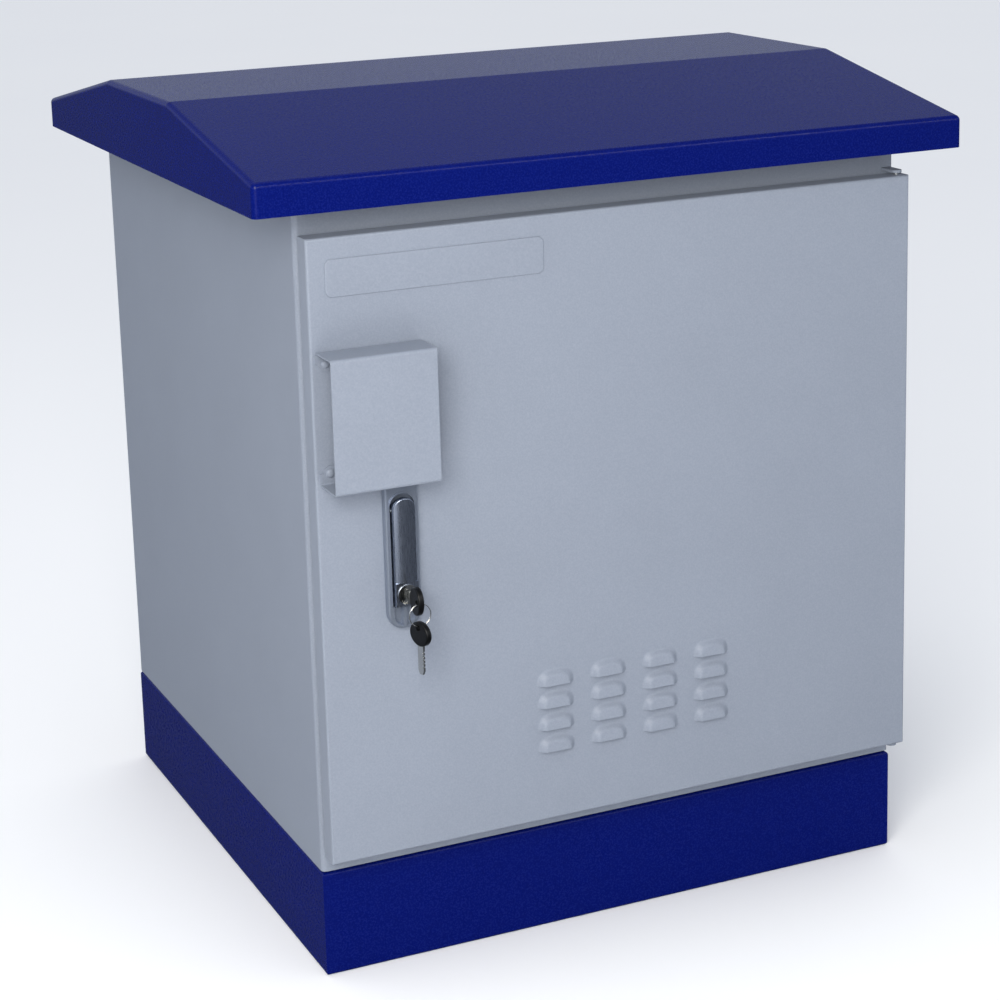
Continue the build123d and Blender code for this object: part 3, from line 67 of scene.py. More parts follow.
def linear(hex_colour):
    """sRGB hex to linear RGBA: below 0.04045 divide by 12.92, above it the 2.4 power curve."""
    srgb = np.array([int(hex_colour[i : i + 2], 16) for i in (1, 3, 5)]) / 255
    curve = np.where(srgb <= 0.04045, srgb / 12.92, ((srgb + 0.055) / 1.055) ** 2.4)
    return (*curve.tolist(), 1.0)


def add_node(tree, kind, values=None, links=None, **settings):
    """Add one shader node, set its properties and input values, and link sockets into it."""
    node = tree.nodes.new("ShaderNode" + kind)
    for name, value in settings.items():
        setattr(node, name, value)
    for socket, value in (values or {}).items():
        node.inputs[socket].default_value = value
    for socket, source in (links or {}).items():
        tree.links.new(source, node.inputs[socket])
    return node


def finish_named(name):
    """A new material with an empty node tree, its surface shader and its output joined."""
    material = bpy.data.materials.new(name)
    material.use_nodes = True
    tree = material.node_tree
    tree.nodes.clear()
    shader = add_node(tree, "BsdfPrincipled")
    add_node(tree, "OutputMaterial", links={"Surface": shader.outputs["BSDF"]})
    return material, tree, shader.inputs


print("white is", linear("#ffffff"), "mid grey is", round(linear("#808080")[0], 3))

# %% [markdown]
# Powder coat is plastic dust, sprayed on and melted. It flows into a skin of small rounded
# bumps about a millimetre across, which break every highlight into grain. It could be one
# noise, but a real coat also varies slowly in thickness, so two sizes are used: a fine one
# for the bumps and flecks, and a broad one that shifts the colour a little. At this distance
# a bump is about one pixel, so the fine pattern is drawn about one and a half times as coarse
# as the real one to be seen at all.

# %% Powder coats
GRAIN_MM = 1.6
CLOUD_MM = 90.0
# Most values of a noise lie in this band round its middle, and flecks are its upper part
NOISE_LOW, NOISE_HIGH = 0.3, 0.7
FLECK_LOW, FLECK_HIGH = 0.35, 0.75
TONE_SHIFT = 0.015
GRAIN_POLISH = 0.06
GRAIN_STRENGTH = 0.6


def powder_coat(name, paint, fleck, bump_mm, roughness, gloss):
    """Paint with a grain bump: fine noise lifts and flecks the skin, broad noise shifts its tone."""
    material, tree, surface = finish_named(name)
    place = add_node(tree, "TexCoord").outputs["Object"]
    grain = add_node(
        tree,
        "TexNoise",
        {"Scale": 1 / (GRAIN_MM * MM), "Detail": 2.0, "Roughness": 0.55},
        {"Vector": place},
    ).outputs["Fac"]
    cloud = add_node(
        tree,
        "TexNoise",
        {"Scale": 1 / (CLOUD_MM * MM), "Detail": 3.0, "Roughness": 0.6},
        {"Vector": place},
    ).outputs["Fac"]
    flecks = add_node(
        tree,
        "MapRange",
        {"From Min": FLECK_LOW, "From Max": FLECK_HIGH, "To Min": 0.0, "To Max": 1.0},
        {"Value": grain},
    ).outputs["Result"]
    speckled = add_node(
        tree,
        "Mix",
        {6: linear(paint), 7: linear(fleck)},
        {0: flecks},
        data_type="RGBA",
    ).outputs[2]
    tone = add_node(
        tree,
        "MapRange",
        {
            "From Min": NOISE_LOW,
            "From Max": NOISE_HIGH,
            "To Min": 1 - TONE_SHIFT,
            "To Max": 1 + TONE_SHIFT,
        },
        {"Value": cloud},
    ).outputs["Result"]
    shifted = add_node(
        tree, "HueSaturation", {"Saturation": 1.0}, {"Color": speckled, "Value": tone}
    ).outputs["Color"]
    rough = add_node(
        tree,
        "MapRange",
        {
            "From Min": NOISE_LOW,
            "From Max": NOISE_HIGH,
            "To Min": roughness - GRAIN_POLISH,
            "To Max": roughness + GRAIN_POLISH,
        },
        {"Value": grain},
    ).outputs["Result"]
    skin = add_node(
        tree, "Bump", {"Strength": GRAIN_STRENGTH, "Distance": bump_mm * MM}, {"Height": grain}
    ).outputs["Normal"]
    tree.links.new(shifted, surface["Base Color"])
    tree.links.new(rough, surface["Roughness"])
    tree.links.new(skin, surface["Normal"])
    surface["Specular IOR Level"].default_value = gloss
    return material


# Light grey with a blue cast on the body, the door and the hood: soft, nearly matt
grey_coat = powder_coat("powder_coat_light_grey", "#828996", "#89909d", 0.12, 0.42, 0.30)
# Ultramarine on the canopy and the plinth: deeper, with brighter grain in the highlights
blue_coat = powder_coat("powder_coat_ultramarine", "#000b56", "#011366", 0.30, 0.26, 0.14)
print("powder coats", grey_coat.name, blue_coat.name)

# %% [markdown]
# The metals need four different faces. Zinc plating on bolts, rails and brackets is a dull
# silver with a faint crystal mottle. The lock's grip is die-cast zinc under satin chrome, drawn
# along a sanding belt, so its scratches run up and down. The dish round it is the same casting
# under silver lacquer, fine metal flakes in a clear binder, which mirror less and scatter more.
# The cylinder, the key and its ring are bright nickel. One function makes all four, because only
# the colour, the size and stretch of the pattern, the polish and the share of bare metal differ.

# %% Metals
MOTTLE_STRENGTH = 0.25
MOTTLE_BUMP_MM = 0.03


def plated_metal(name, dark, light, pattern_mm, stretch, roughness, spread, bare=1.0):
    """Metal: noise, drawn out along z by the stretch, mixes two tones and two polishes.

    The share of bare metal is one for plating, and less where lacquer covers the metal.
    """
    material, tree, surface = finish_named(name)
    place = add_node(tree, "TexCoord").outputs["Object"]
    drawn = add_node(
        tree, "Mapping", {"Scale": (1.0, 1.0, 1.0 / stretch)}, {"Vector": place}
    ).outputs["Vector"]
    mottle = add_node(
        tree,
        "TexNoise",
        {"Scale": 1 / (pattern_mm * MM), "Detail": 3.0, "Roughness": 0.6},
        {"Vector": drawn},
    ).outputs["Fac"]
    tone = add_node(
        tree,
        "Mix",
        {6: linear(dark), 7: linear(light)},
        {0: mottle},
        data_type="RGBA",
    ).outputs[2]
    polish = add_node(
        tree,
        "MapRange",
        {
            "From Min": NOISE_LOW,
            "From Max": NOISE_HIGH,
            "To Min": roughness - spread,
            "To Max": roughness + spread,
        },
        {"Value": mottle},
    ).outputs["Result"]
    skin = add_node(
        tree,
        "Bump",
        {"Strength": MOTTLE_STRENGTH, "Distance": MOTTLE_BUMP_MM * MM},
        {"Height": mottle},
    ).outputs["Normal"]
    tree.links.new(tone, surface["Base Color"])
    tree.links.new(polish, surface["Roughness"])
    tree.links.new(skin, surface["Normal"])
    surface["Metallic"].default_value = bare
    return material


# Crystals of the plating are some millimetres across, so the mottle has its real size
zinc_plate = plated_metal("zinc_plated_steel", "#9da1a3", "#c4c7c8", 6.0, 1.0, 0.42, 0.07)
# Scratches are a tenth of a millimetre wide: these are drawn far coarser, to show at all
satin_chrome = plated_metal(
    "satin_chrome_on_die_cast_zinc", "#9aa2b1", "#b4bbc8", 0.7, 14.0, 0.28, 0.05
)
# Flakes are finer still: their clusters are drawn, about one pixel wide
satin_lacquer = plated_metal(
    "silver_lacquer_on_die_cast_zinc", "#858e9d", "#9fa7b6", 0.9, 1.0, 0.36, 0.05, bare=0.68
)
# Nickel has a yellow cast and nearly mirrors: its slow waves come from the metal under it
bright_nickel = plated_metal("bright_nickel_plate", "#c0bfba", "#d8d7d2", 3.0, 1.0, 0.16, 0.04)
print("metals", zinc_plate.name, satin_chrome.name, satin_lacquer.name, bright_nickel.name)

# %% [markdown]
# The rest is soft or moulded: foam rubber round the door, rubber in the cable entries, an
# open-cell filter mat, black moulded key bows and one turned nylon washer. All are dull and
# coloured through, so a plain colour with the right size of surface cells is enough. Cells
# come from a Voronoi pattern, whose distance field has a dip at each cell's middle.

# %% Rubber, foam and plastic
CELL_STRENGTH = 0.5


def cellular(name, dark, light, cell_mm, bump_mm, roughness, gloss=0.5):
    """Coloured-through material: Voronoi cells of a given size darken and dent the skin."""
    material, tree, surface = finish_named(name)
    place = add_node(tree, "TexCoord").outputs["Object"]
    cells = add_node(
        tree, "TexVoronoi", {"Scale": 1 / (cell_mm * MM)}, {"Vector": place}
    ).outputs["Distance"]
    tone = add_node(
        tree,
        "Mix",
        {6: linear(dark), 7: linear(light)},
        {0: cells},
        data_type="RGBA",
    ).outputs[2]
    skin = add_node(
        tree, "Bump", {"Strength": CELL_STRENGTH, "Distance": bump_mm * MM}, {"Height": cells}
    ).outputs["Normal"]
    tree.links.new(tone, surface["Base Color"])
    tree.links.new(skin, surface["Normal"])
    surface["Roughness"].default_value = roughness
    surface["Specular IOR Level"].default_value = gloss
    return material


foam_rubber = cellular("black_foam_rubber", "#161617", "#2a2a2c", 0.8, 0.10, 0.85)
filter_foam = cellular("grey_filter_foam", "#2b2c2e", "#55575a", 2.2, 0.90, 0.95)
moulded_black = cellular("black_moulded_nylon", "#030304", "#070708", 0.9, 0.03, 0.42, gloss=0.3)
turned_nylon = cellular("white_turned_nylon", "#d6d4cc", "#e2e0d8", 1.2, 0.02, 0.45)
print("soft finishes", foam_rubber.name, filter_foam.name, moulded_black.name, turned_nylon.name)

# %% [markdown]
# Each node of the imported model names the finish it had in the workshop, its material slot in
# the record. A table from slot to material dresses all of them at once, and a node that is
# added later gets its finish without another line here. One node departs from its slot: the
# lock's dish is lacquered, and the grip in it is chromed.

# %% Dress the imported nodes
FINISHES = {
    "grey_powder_coat": grey_coat,
    "blue_powder_coat": blue_coat,
    "zinc_plated_steel": zinc_plate,
    "polished_steel": bright_nickel,
    "satin_die_cast": satin_chrome,
    "black_rubber": foam_rubber,
    "black_plastic": moulded_black,
    "filter_foam": filter_foam,
    "white_nylon": turned_nylon,
}
NODE_FINISHES = {"handle_escutcheon": satin_lacquer}
slot_of = {part["node"]: part["material_slot"] for part in frame["record"]["subparts"]}
for node, solid in frame["nodes"].items():
    solid.data.materials.clear()
    solid.data.materials.append(NODE_FINISHES.get(node, FINISHES[slot_of[node]]))
print("dressed", len(slot_of), "nodes from", len(set(slot_of.values())), "slots")

# %% [markdown]
# New pieces are grids of points: rows of a profile, columns round an axis or along a path.
# Three helpers turn a stack of such grids into a piece. The first numbers the corners of each
# grid cell, which becomes a quad; a closed direction joins its last row to its first. The
# second makes the mesh, welds points that fall together at a pole, hangs the piece on the body
# that it rides on and hides the solid that it stands for. The third joins the two.

# %% Grid to mesh
WELD = 0.001 * MM
CREASE = math.radians(40)


def grid_quads(shape, close_rows=False, close_columns=False):
    """Corner numbers of the cells of a stack of grids, row by row, as an array of fours."""
    count, rows, columns, _ = shape
    index = np.arange(count * rows * columns).reshape(count, rows, columns)
    if close_rows:
        index = np.concatenate([index, index[:, :1]], axis=1)
    if close_columns:
        index = np.concatenate([index, index[:, :, :1]], axis=2)
    corners = (index[:, :-1, :-1], index[:, 1:, :-1], index[:, 1:, 1:], index[:, :-1, 1:])
    return np.stack(corners, axis=-1).reshape(-1, 4)


def mesh_piece(name, points, faces, finish, body, replaced, turn_outwards=True):
    """Object from points and faces: doubles welded, smooth up to the crease angle, on a body."""
    mesh = bpy.data.meshes.new(name)
    mesh.from_pydata(points.tolist(), [], faces)
    work = bmesh.new()
    work.from_mesh(mesh)
    bmesh.ops.remove_doubles(work, verts=work.verts, dist=WELD)
    if turn_outwards:
        bmesh.ops.recalc_face_normals(work, faces=work.faces)
    work.to_mesh(mesh)
    work.free()
    mesh.shade_smooth()
    mesh.set_sharp_from_angle(angle=CREASE)
    mesh.materials.append(finish)
    piece = bpy.data.objects.new(name, mesh)
    bpy.context.scene.collection.objects.link(piece)
    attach(piece, body)
    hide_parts(replaced)
    print(name, "faces", len(mesh.polygons))


def grid_piece(name, grids, finish, body, replaced, close_rows=False, close_columns=False):
    """Piece from an array of grids, shape (count, rows, columns, 3)."""
    quads = grid_quads(grids.shape, close_rows, close_columns)
    mesh_piece(name, grids.reshape(-1, 3), quads.tolist(), finish, body, replaced)


# %% [markdown]
# The door is one folded pan, and its louvres are drawn out of the sheet by a press: each swells
# softly out of the flat and breaks open only along its lower lip. The solid's louvres have harder
# shoulders and rise further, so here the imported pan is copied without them, and softer ones are
# set into the same places. The copy keeps every triangle that has no corner on a louvre.

# %% Door pan without its louvres
LOUVRE_WIDTH, LOUVRE_HEIGHT = 37.5 * MM, 15.0 * MM
LOUVRE_PITCH_X, LOUVRE_PITCH_Z = 53.8 * MM, 21.2 * MM
# The middle of the field of louvres, across the cabinet and above the door's lower edge
LOUVRE_MIDDLE_X, LOUVRE_LEVEL = 3.0 * MM, 99.3 * MM
LOUVRES_A_SIDE = 4
DOOR_FACE, DOOR_SHEET = -318.0 * MM, 1.5 * MM
# The new skins stand this far off the flats that they meet, too little to be seen
SEAM = 0.02 * MM

packed_pan = frame["nodes"]["door_panel"].data
pan_points = np.empty(len(packed_pan.vertices) * 3)
packed_pan.vertices.foreach_get("co", pan_points)
pan_points = pan_points.reshape(-1, 3)
pan_faces = np.empty(len(packed_pan.loops), dtype=int)
packed_pan.loops.foreach_get("vertex_index", pan_faces)
pan_faces = pan_faces.reshape(-1, 3)

steps = np.arange(LOUVRES_A_SIDE) - (LOUVRES_A_SIDE - 1) / 2
louvre_x = LOUVRE_MIDDLE_X + steps * LOUVRE_PITCH_X
louvre_z = pan_points[:, 2].min() + LOUVRE_LEVEL + steps * LOUVRE_PITCH_Z
field_top = louvre_z[-1] + 2 * LOUVRE_HEIGHT
pressed = (pan_points[:, 1] < DOOR_FACE - SEAM) & (pan_points[:, 2] < field_top)
flat_faces = pan_faces[~pressed[pan_faces].any(axis=1)]
used, renumbered = np.unique(flat_faces, return_inverse=True)
flat_points, flat_faces = pan_points[used], renumbered.reshape(-1, 3)
print("flat pan", len(flat_faces), "of", len(pan_faces), "triangles")

# %% [markdown]
# One louvre is a height over the sheet, worked out from two shares: across from the middle to an
# end, and up from the lip to the top. The same height carries the outer skin down to the lip
# and the inner skin up again, one sheet further in, so the lip between them is the sheet's cut
# edge. The rows run in that order, which makes the faces point outwards by themselves.

# %% Soft louvres
LOUVRE_RISE = 5.2 * MM
CROWN_SHARE = 0.45
LEAN_BACK = 0.3
ACROSS_POINTS = 49
UP_POINTS = 17


def louvre_swell(across, up):
    """Height of a louvre over the sheet, from the shares of its half width and of its height.

    The distance from the lip's middle is the root of the sum of both shares' cubes, so its levels
    are full half ovals. The height is full on the crown, falls to the flat in an S curve, three
    squares less two cubes, and leans back in proportion to the share of the height.
    """
    away = np.sqrt(np.abs(across) ** 3 + up**3)
    fall = np.clip((away - CROWN_SHARE) / (1 - CROWN_SHARE), 0, 1)
    return LOUVRE_RISE * (1 - LEAN_BACK * up) * (1 - fall**2 * (3 - 2 * fall))


rising = np.linspace(0, 1, UP_POINTS)
across, up = np.meshgrid(
    np.linspace(-1, 1, ACROSS_POINTS), np.concatenate([np.linspace(1, 0, UP_POINTS), rising])
)
skin_offset = np.repeat([-SEAM, DOOR_SHEET - SEAM], UP_POINTS)[:, None]
louvre = np.stack(
    [
        (LOUVRE_WIDTH / 2 + SEAM) * across,
        DOOR_FACE - louvre_swell(across, up) + skin_offset,
        (LOUVRE_HEIGHT + SEAM) * up,
    ],
    axis=-1,
)
field_x, field_z = np.meshgrid(louvre_x, louvre_z)
louvre_at = np.stack([field_x.ravel(), np.zeros(field_x.size), field_z.ravel()], axis=-1)
louvres = louvre_at[:, None, None, :] + louvre[None]
louvre_faces = grid_quads(louvres.shape) + len(flat_points)
mesh_piece(
    "louvred_door_pan",
    np.concatenate([flat_points, louvres.reshape(-1, 3)]),
    flat_faces.tolist() + louvre_faces.tolist(),
    grey_coat,
    "door",
    "door_panel",
    turn_outwards=False,
)

# %% [markdown]
# The hood is held by blind rivets: a painted dome outside, a swollen tail inside the door.
# Each is a solid of revolution, so it is a profile of radius against depth, spun once and
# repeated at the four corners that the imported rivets' own box gives.

# %% Hood rivets
RIVET_HEAD = 8.0 * MM
RIVET_SHANK = 4.0 * MM
RIVET_TAIL = 6.0 * MM
RIVET_DOME = 2.2 * MM
RIVET_BULB = 3.0 * MM
DOME_STEPS = 8
RIVET_SIDES = 24


def spun(profile, centres, sides):
    """Surfaces of revolution about the y axis: x = cx + r cos a, y = depth, z = cz + r sin a."""
    radius, depth = profile
    turn = np.linspace(0, 2 * np.pi, sides, endpoint=False)
    ring = np.stack([np.cos(turn), np.zeros(sides), np.sin(turn)], axis=-1)
    shape = radius[:, None, None] * ring[None]
    shape[..., 1] = depth[:, None]
    return centres[:, None, None, :] + shape[None]


low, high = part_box("hood_rivets")
quarter = np.linspace(0, np.pi / 2, DOME_STEPS)
seat, inside = low.y + RIVET_DOME, high.y - RIVET_BULB
rivet_radius = np.concatenate(
    [np.sin(quarter) * RIVET_HEAD / 2, [RIVET_SHANK / 2] * 2, np.cos(quarter) * RIVET_TAIL / 2]
)
rivet_depth = np.concatenate(
    [seat - np.cos(quarter) * RIVET_DOME, [seat, inside], inside + np.sin(quarter) * RIVET_BULB]
)
edge = RIVET_HEAD / 2
rivet_x, rivet_z = np.meshgrid([low.x + edge, high.x - edge], [low.z + edge, high.z - edge])
rivet_at = np.stack([rivet_x.ravel(), np.zeros(rivet_x.size), rivet_z.ravel()], axis=-1)
grid_piece(
    "hood_rivet_domes",
    spun((rivet_radius, rivet_depth), rivet_at, RIVET_SIDES),
    grey_coat,
    "door",
    "hood_rivets",
    close_columns=True,
)

# %% [markdown]
# The back panel's screws have a low pan head with a cross recess for the driver. A plain
# spun head would miss the cross, so the head is a height over polar coordinates: a flattened
# dome, which falls with the fifth power of the radius, less a dip that is deep where the point
# lies near either arm of the cross and not past the arm's end.

# %% Screw head
SCREW_HEAD = 9.0 * MM
SCREW_RISE = 2.4 * MM
RIM_FALL = 0.75
RECESS_DEPTH = 1.5 * MM
RECESS_ARM = 2.6 * MM
RECESS_WIDTH = 0.55 * MM
HEAD_STEPS = 22
SCREW_SIDES = 64

low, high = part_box("back_screws")
screw_seat = high.y - SCREW_RISE
share = np.linspace(0, 1, HEAD_STEPS)[:, None]
turn = np.linspace(0, 2 * np.pi, SCREW_SIDES, endpoint=False)[None]
head_x, head_z = share * np.cos(turn) * SCREW_HEAD / 2, share * np.sin(turn) * SCREW_HEAD / 2
near_arm = np.minimum(np.abs(head_x), np.abs(head_z)) / RECESS_WIDTH
far_out = np.maximum(np.abs(head_x), np.abs(head_z)) / RECESS_ARM
cross = np.exp(-(near_arm**4)) * np.exp(-(far_out**8))
pan = SCREW_RISE * (1 - RIM_FALL * share**5 + 0 * turn) - RECESS_DEPTH * cross
head = np.stack([head_x, screw_seat + pan, head_z], axis=-1)
print("screw head", head.shape, "recess", round(float(cross.max()) * RECESS_DEPTH / MM, 2), "mm")

# %% [markdown]
# Under the head come its skirt, the shank and a flat tip, more rows of the same grid. The screws
# stand in two columns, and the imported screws' box gives the places of the outer ones.

# %% Back panel screws
SCREW_SHANK = 4.0 * MM
SCREW_ROWS = 4

skirt = np.stack([head_x[-1], np.full(SCREW_SIDES, screw_seat), head_z[-1]], axis=-1)
neck = np.stack([np.cos(turn[0]), np.zeros(SCREW_SIDES), np.sin(turn[0])], axis=-1)
neck_rows = [neck * SCREW_SHANK / 2 + [0, y, 0] for y in (screw_seat, low.y)]
tip = np.tile([0.0, low.y, 0.0], (SCREW_SIDES, 1))
screw = np.concatenate([head, [skirt], neck_rows, [tip]], axis=0)
edge = SCREW_HEAD / 2
screw_x, screw_z = np.meshgrid(
    [low.x + edge, high.x - edge], np.linspace(low.z + edge, high.z - edge, SCREW_ROWS)
)
screw_at = np.stack([screw_x.ravel(), np.zeros(screw_x.size), screw_z.ravel()], axis=-1)
grid_piece(
    "back_panel_screws",
    screw_at[:, None, None, :] + screw[None],
    grey_coat,
    "cabinet",
    "back_screws",
    close_columns=True,
)

# %% [markdown]
# A key ring is spring wire wound twice round, so that a key can be slid in between the turns.
# It could be a torus, but the two turns and the step where they part give it its look. Here
# a small circle is carried along a circle of two turns, which moves sideways by one wire in
# an S curve at the middle of its length. The circle shrinks to a point at both ends.

# %% Key ring
RING_TURNS = 2
RING_START = np.pi / 5
RING_STEPS = 145
STEP_STEEPNESS = 60
WIRE_SIDES = 10

low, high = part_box("key_ring")
wire = (high.y - low.y) / 4
ring_radius = (high.x - low.x) / 2 - 2 * wire
middle = (low + high) / 2
way = np.linspace(0, 1, RING_STEPS)
round_angle = way * RING_TURNS * 2 * np.pi + RING_START
step_share = 1 / (1 + np.exp(-(way - 0.5) * STEP_STEEPNESS))
outward = np.stack([np.cos(round_angle), np.zeros_like(way), np.sin(round_angle)], axis=-1)
line = np.array(middle) + outward * (ring_radius + wire)
line[:, 1] += (step_share * 2 - 1) * wire
section = np.linspace(0, 2 * np.pi, WIRE_SIDES, endpoint=False)
taper = np.where((way == 0) | (way == 1), 0.0, 1.0)[:, None, None]
ring_tube = line[:, None, :] + taper * wire * (
    np.cos(section)[None, :, None] * outward[:, None, :]
    + np.sin(section)[None, :, None] * np.array([0.0, 1.0, 0.0])
)
grid_piece(
    "wound_key_ring",
    ring_tube[None],
    bright_nickel,
    "ring",
    "key_ring",
    close_columns=True,
)

# %% [markdown]
# The door's gasket is poured foam: a soft bead with a crowned face, a little wider at its
# foot, laid in one run round the door. It is a profile carried along a rounded rectangle. The
# corner directions do both jobs: they round the path's corners and turn the profile there. The
# profile is half a circle whose sine and cosine are raised to a power below one, which fills
# its shoulders.

# %% Door gasket
GASKET_WIDTH = 12.0 * MM
GASKET_CORNER = 10.0 * MM
BEAD_FULLNESS = 0.6
BEAD_STEPS = 17
CORNER_STEPS = 9

low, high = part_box("door_gasket")
middle = (low + high) / 2
corner_turn = np.linspace(0, np.pi / 2, CORNER_STEPS)
way_angle = (np.arange(4)[:, None] * np.pi / 2 + corner_turn[None]).ravel()
facing = np.stack([np.cos(way_angle), np.zeros_like(way_angle), np.sin(way_angle)], axis=-1)
half_x = (high.x - low.x) / 2 - GASKET_CORNER
half_z = (high.z - low.z) / 2 - GASKET_CORNER
corner_x = np.repeat([half_x, -half_x, -half_x, half_x], CORNER_STEPS)
corner_z = np.repeat([half_z, half_z, -half_z, -half_z], CORNER_STEPS)
corner_at = np.stack([corner_x, np.zeros_like(corner_x), corner_z], axis=-1)
bead = np.linspace(0, np.pi, BEAD_STEPS)
bead_side = np.sign(np.cos(bead)) * np.abs(np.cos(bead)) ** BEAD_FULLNESS
bead_out = GASKET_CORNER - GASKET_WIDTH / 2 + bead_side * GASKET_WIDTH / 2
bead_rise = np.sin(bead) ** BEAD_FULLNESS * (high.y - low.y)
path = corner_at[:, None, :] + facing[:, None, :] * bead_out[None, :, None]
path[..., 1] += low.y + bead_rise[None]
path[..., 0] += middle.x
path[..., 2] += middle.z
grid_piece(
    "poured_gasket",
    path[None],
    foam_rubber,
    "door",
    "door_gasket",
    close_rows=True,
    close_columns=True,
)

# %% [markdown]
# The studio is a pale floor that reaches past the horizon line of the picture, so that floor
# and background are one. Paper is never quite even, so a broad noise shifts its white a little.
# The floor isn't seen in mirrors: it would lie as a white glare in the deep blue paint.

# %% Floor
FLOOR_SIZE = 60.0
FLOOR_CLOUD = 1.25
FLOOR_ROUGHNESS, FLOOR_GLOSS = 0.9, 0.1

floor_coat, floor_tree, floor_surface = finish_named("studio_floor_white")
floor_place = add_node(floor_tree, "TexCoord").outputs["Object"]
floor_cloud = add_node(
    floor_tree, "TexNoise", {"Scale": 1 / FLOOR_CLOUD, "Detail": 2.0}, {"Vector": floor_place}
).outputs["Fac"]
floor_tone = add_node(
    floor_tree,
    "Mix",
    {6: linear("#fafafb"), 7: linear("#fdfdfd")},
    {0: floor_cloud},
    data_type="RGBA",
).outputs[2]
floor_tree.links.new(floor_tone, floor_surface["Base Color"])
floor_surface["Roughness"].default_value = FLOOR_ROUGHNESS
floor_surface["Specular IOR Level"].default_value = FLOOR_GLOSS

reach = FLOOR_SIZE / 2
floor_mesh = bpy.data.meshes.new("studio_floor")
floor_corners = [(-reach, -reach, 0), (reach, -reach, 0), (reach, reach, 0), (-reach, reach, 0)]
floor_mesh.from_pydata(floor_corners, [], [(0, 1, 2, 3)])
floor_mesh.materials.append(floor_coat)
floor = bpy.data.objects.new("studio_floor", floor_mesh)
floor.visible_glossy = False
bpy.context.scene.collection.objects.link(floor)
print("floor", FLOOR_SIZE, "m wide")

# %% [markdown]
# Two lights do the work: a soft key light near the cabinet, in front of it and to the left, and a
# weak one above. Two more are seen only in mirrors and light nothing else: a long strip that
# draws a line along the canopy's edge, and a low reflector that gives the lock's metal its glow.
# All of them are rectangles that face a target, because broad light makes soft shadows.

# %% Lights
CABINET_MIDDLE = (0.0, 0.0, 0.42)
CANOPY_EDGE = (0.0, -0.36, 0.78)
LOCK = (-0.22, -0.33, 0.38)


def soft_light(name, place, target, size, power, colour, fills=True):
    """Rectangular area light that faces a target; one that fills nothing shows only in mirrors."""
    lamp = bpy.data.lights.new(name, "AREA")
    lamp.shape = "RECTANGLE"
    lamp.size, lamp.size_y = size
    lamp.energy = power
    lamp.color = linear(colour)[:3]
    stand = bpy.data.objects.new(name, lamp)
    stand.location = place
    facing_target = (Vector(target) - Vector(place)).to_track_quat("-Z", "Y")
    stand.rotation_euler = facing_target.to_euler()
    stand.visible_camera = False
    stand.visible_diffuse = fills
    bpy.context.scene.collection.objects.link(stand)
    print(name, "at", place, power, "W")


soft_light(
    "key_light",
    place=(-1.15, -1.8, 1.3),
    target=CABINET_MIDDLE,
    size=(1.0, 1.0),
    power=37.0,
    colour="#fffdf8",
)
soft_light(
    "top_light",
    place=(-0.3, 0.6, 3.2),
    target=CABINET_MIDDLE,
    size=(2.2, 2.2),
    power=8.0,
    colour="#ffffff",
)
soft_light(
    "edge_strip",
    place=(0.9, -2.55, 1.75),
    target=CANOPY_EDGE,
    size=(2.2, 0.10),
    power=16.0,
    colour="#ffffff",
    fills=False,
)
soft_light(
    "low_reflector",
    place=(-0.8, -1.35, 0.35),
    target=LOCK,
    size=(0.7, 0.6),
    power=1.4,
    colour="#f2f6ff",
    fills=False,
)

# %% [markdown]
# The sky fills the rest. Surfaces that scatter light see it plain and even. Mirrors see another
# one, dark at the floor, brightest just over the horizon and darker again overhead, as in a
# studio with pale walls and a dim ceiling: deep paint and satin metal need something dark to
# mirror. The two meet at a switch that knows whether a ray comes from a mirror.

# %% Sky
SKY_FILL = 0.84
# Heights are those of a ray's direction, from minus one straight down to one straight up
WALL_FOOT, WALL_HEAD = -0.10, 0.08
FLOOR_GLOW, WALL_GLOW = 0.12, 0.62
CEILING_EDGE, CEILING_MIDDLE = 0.10, 0.60
CEILING_SHARE = 0.40

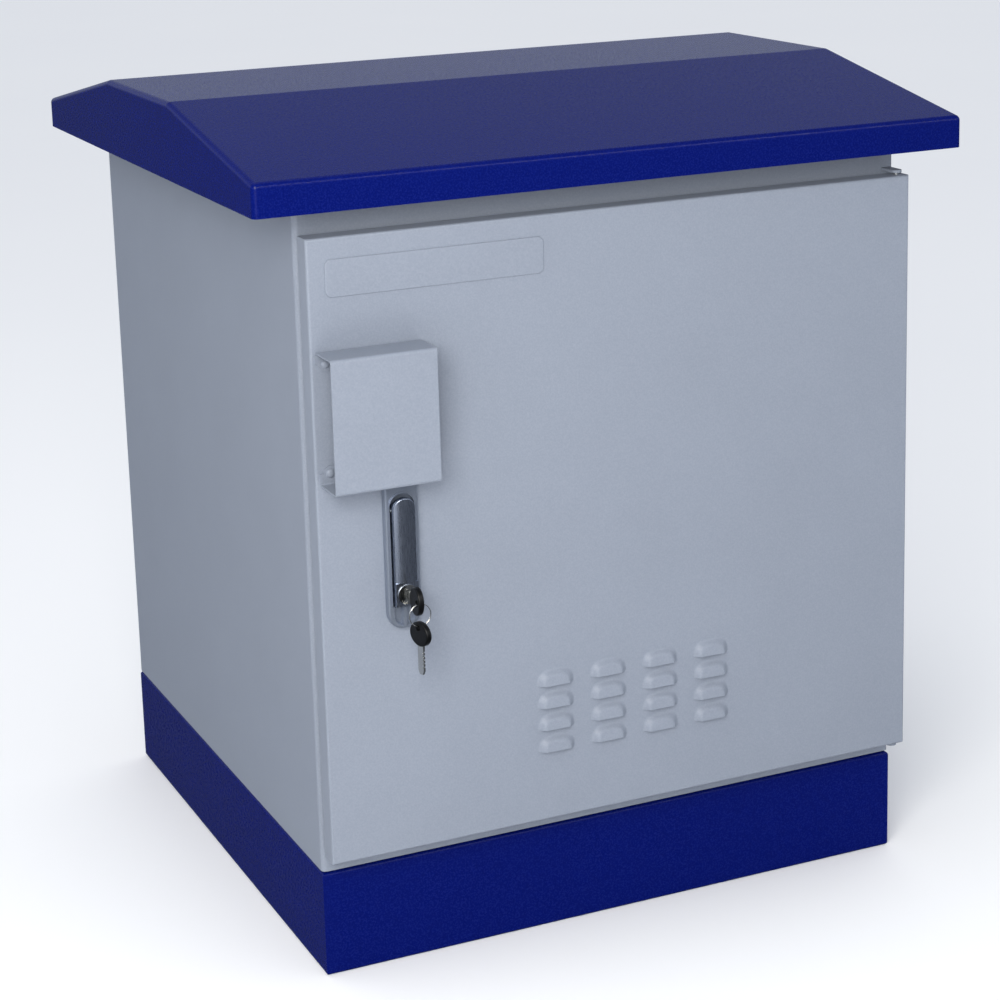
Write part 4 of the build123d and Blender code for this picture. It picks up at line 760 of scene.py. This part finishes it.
world = bpy.data.worlds.new("studio_sky")
world.cycles.sampling_method = "NONE"
world.use_nodes = True
sky_tree = world.node_tree
sky_tree.nodes.clear()
ray = add_node(sky_tree, "TexCoord").outputs["Generated"]
height = add_node(sky_tree, "SeparateXYZ", links={"Vector": ray}).outputs["Z"]
walls = add_node(
    sky_tree,
    "MapRange",
    {"From Min": WALL_FOOT, "From Max": WALL_HEAD, "To Min": FLOOR_GLOW, "To Max": WALL_GLOW},
    {"Value": height},
).outputs["Result"]
ceiling = add_node(
    sky_tree,
    "MapRange",
    {"From Min": CEILING_EDGE, "From Max": CEILING_MIDDLE, "To Min": 1.0, "To Max": CEILING_SHARE},
    {"Value": height},
).outputs["Result"]
mirrored = add_node(
    sky_tree, "Math", links={0: walls, 1: ceiling}, operation="MULTIPLY"
).outputs["Value"]
in_mirror = add_node(sky_tree, "LightPath").outputs["Is Glossy Ray"]
fill_sky = add_node(
    sky_tree, "Background", {"Color": linear("#f4f8ff"), "Strength": SKY_FILL}
).outputs["Background"]
mirror_sky = add_node(
    sky_tree, "Background", {"Color": linear("#e2ecff")}, {"Strength": mirrored}
).outputs["Background"]
sky = add_node(sky_tree, "MixShader", links={0: in_mirror, 1: fill_sky, 2: mirror_sky})
add_node(sky_tree, "OutputWorld", links={"Surface": sky.outputs["Shader"]})
bpy.context.scene.world = world
bpy.context.scene.view_settings.view_transform = "Standard"
print("sky", SKY_FILL, "and in mirrors", FLOOR_GLOW, "to", WALL_GLOW)

# %% [markdown]
# The camera was fitted to the picture's corners: canopy, plinth and door edges together fix
# its direction, its distance and its lens. The picture is a crop of a taller frame, so its
# optical middle lies above its own middle, and a small lens shift puts it there.

# %% Camera
AZIMUTH, ELEVATION, ROLL = -24.069, 12.837, -1.584
DISTANCE = 2.48717
TARGET = Vector((0.01886, 0.0, 0.50735))
FOCAL_PIXELS = 2439.6
MIDDLE_ROW = 330.0
IMAGE = 1000.0
SENSOR = 36.0

lens = bpy.data.cameras.new("photo_camera")
lens.sensor_width = SENSOR
lens.lens = FOCAL_PIXELS / IMAGE * SENSOR
lens.shift_y = (MIDDLE_ROW - IMAGE / 2) / IMAGE
camera = bpy.data.objects.new("photo_camera", lens)
azimuth, elevation = math.radians(AZIMUTH), math.radians(ELEVATION)
level = math.cos(elevation)
back = Vector((math.sin(azimuth) * level, -math.cos(azimuth) * level, math.sin(elevation)))
camera.matrix_world = (
    Matrix.Translation(TARGET + back * DISTANCE)
    @ (-back).to_track_quat("-Z", "Y").to_matrix().to_4x4()
    @ Matrix.Rotation(math.radians(ROLL), 4, "Z")
)
bpy.context.scene.collection.objects.link(camera)
bpy.context.scene.camera = camera
print("lens", round(lens.lens, 1), "mm, shift", round(lens.shift_y, 3))
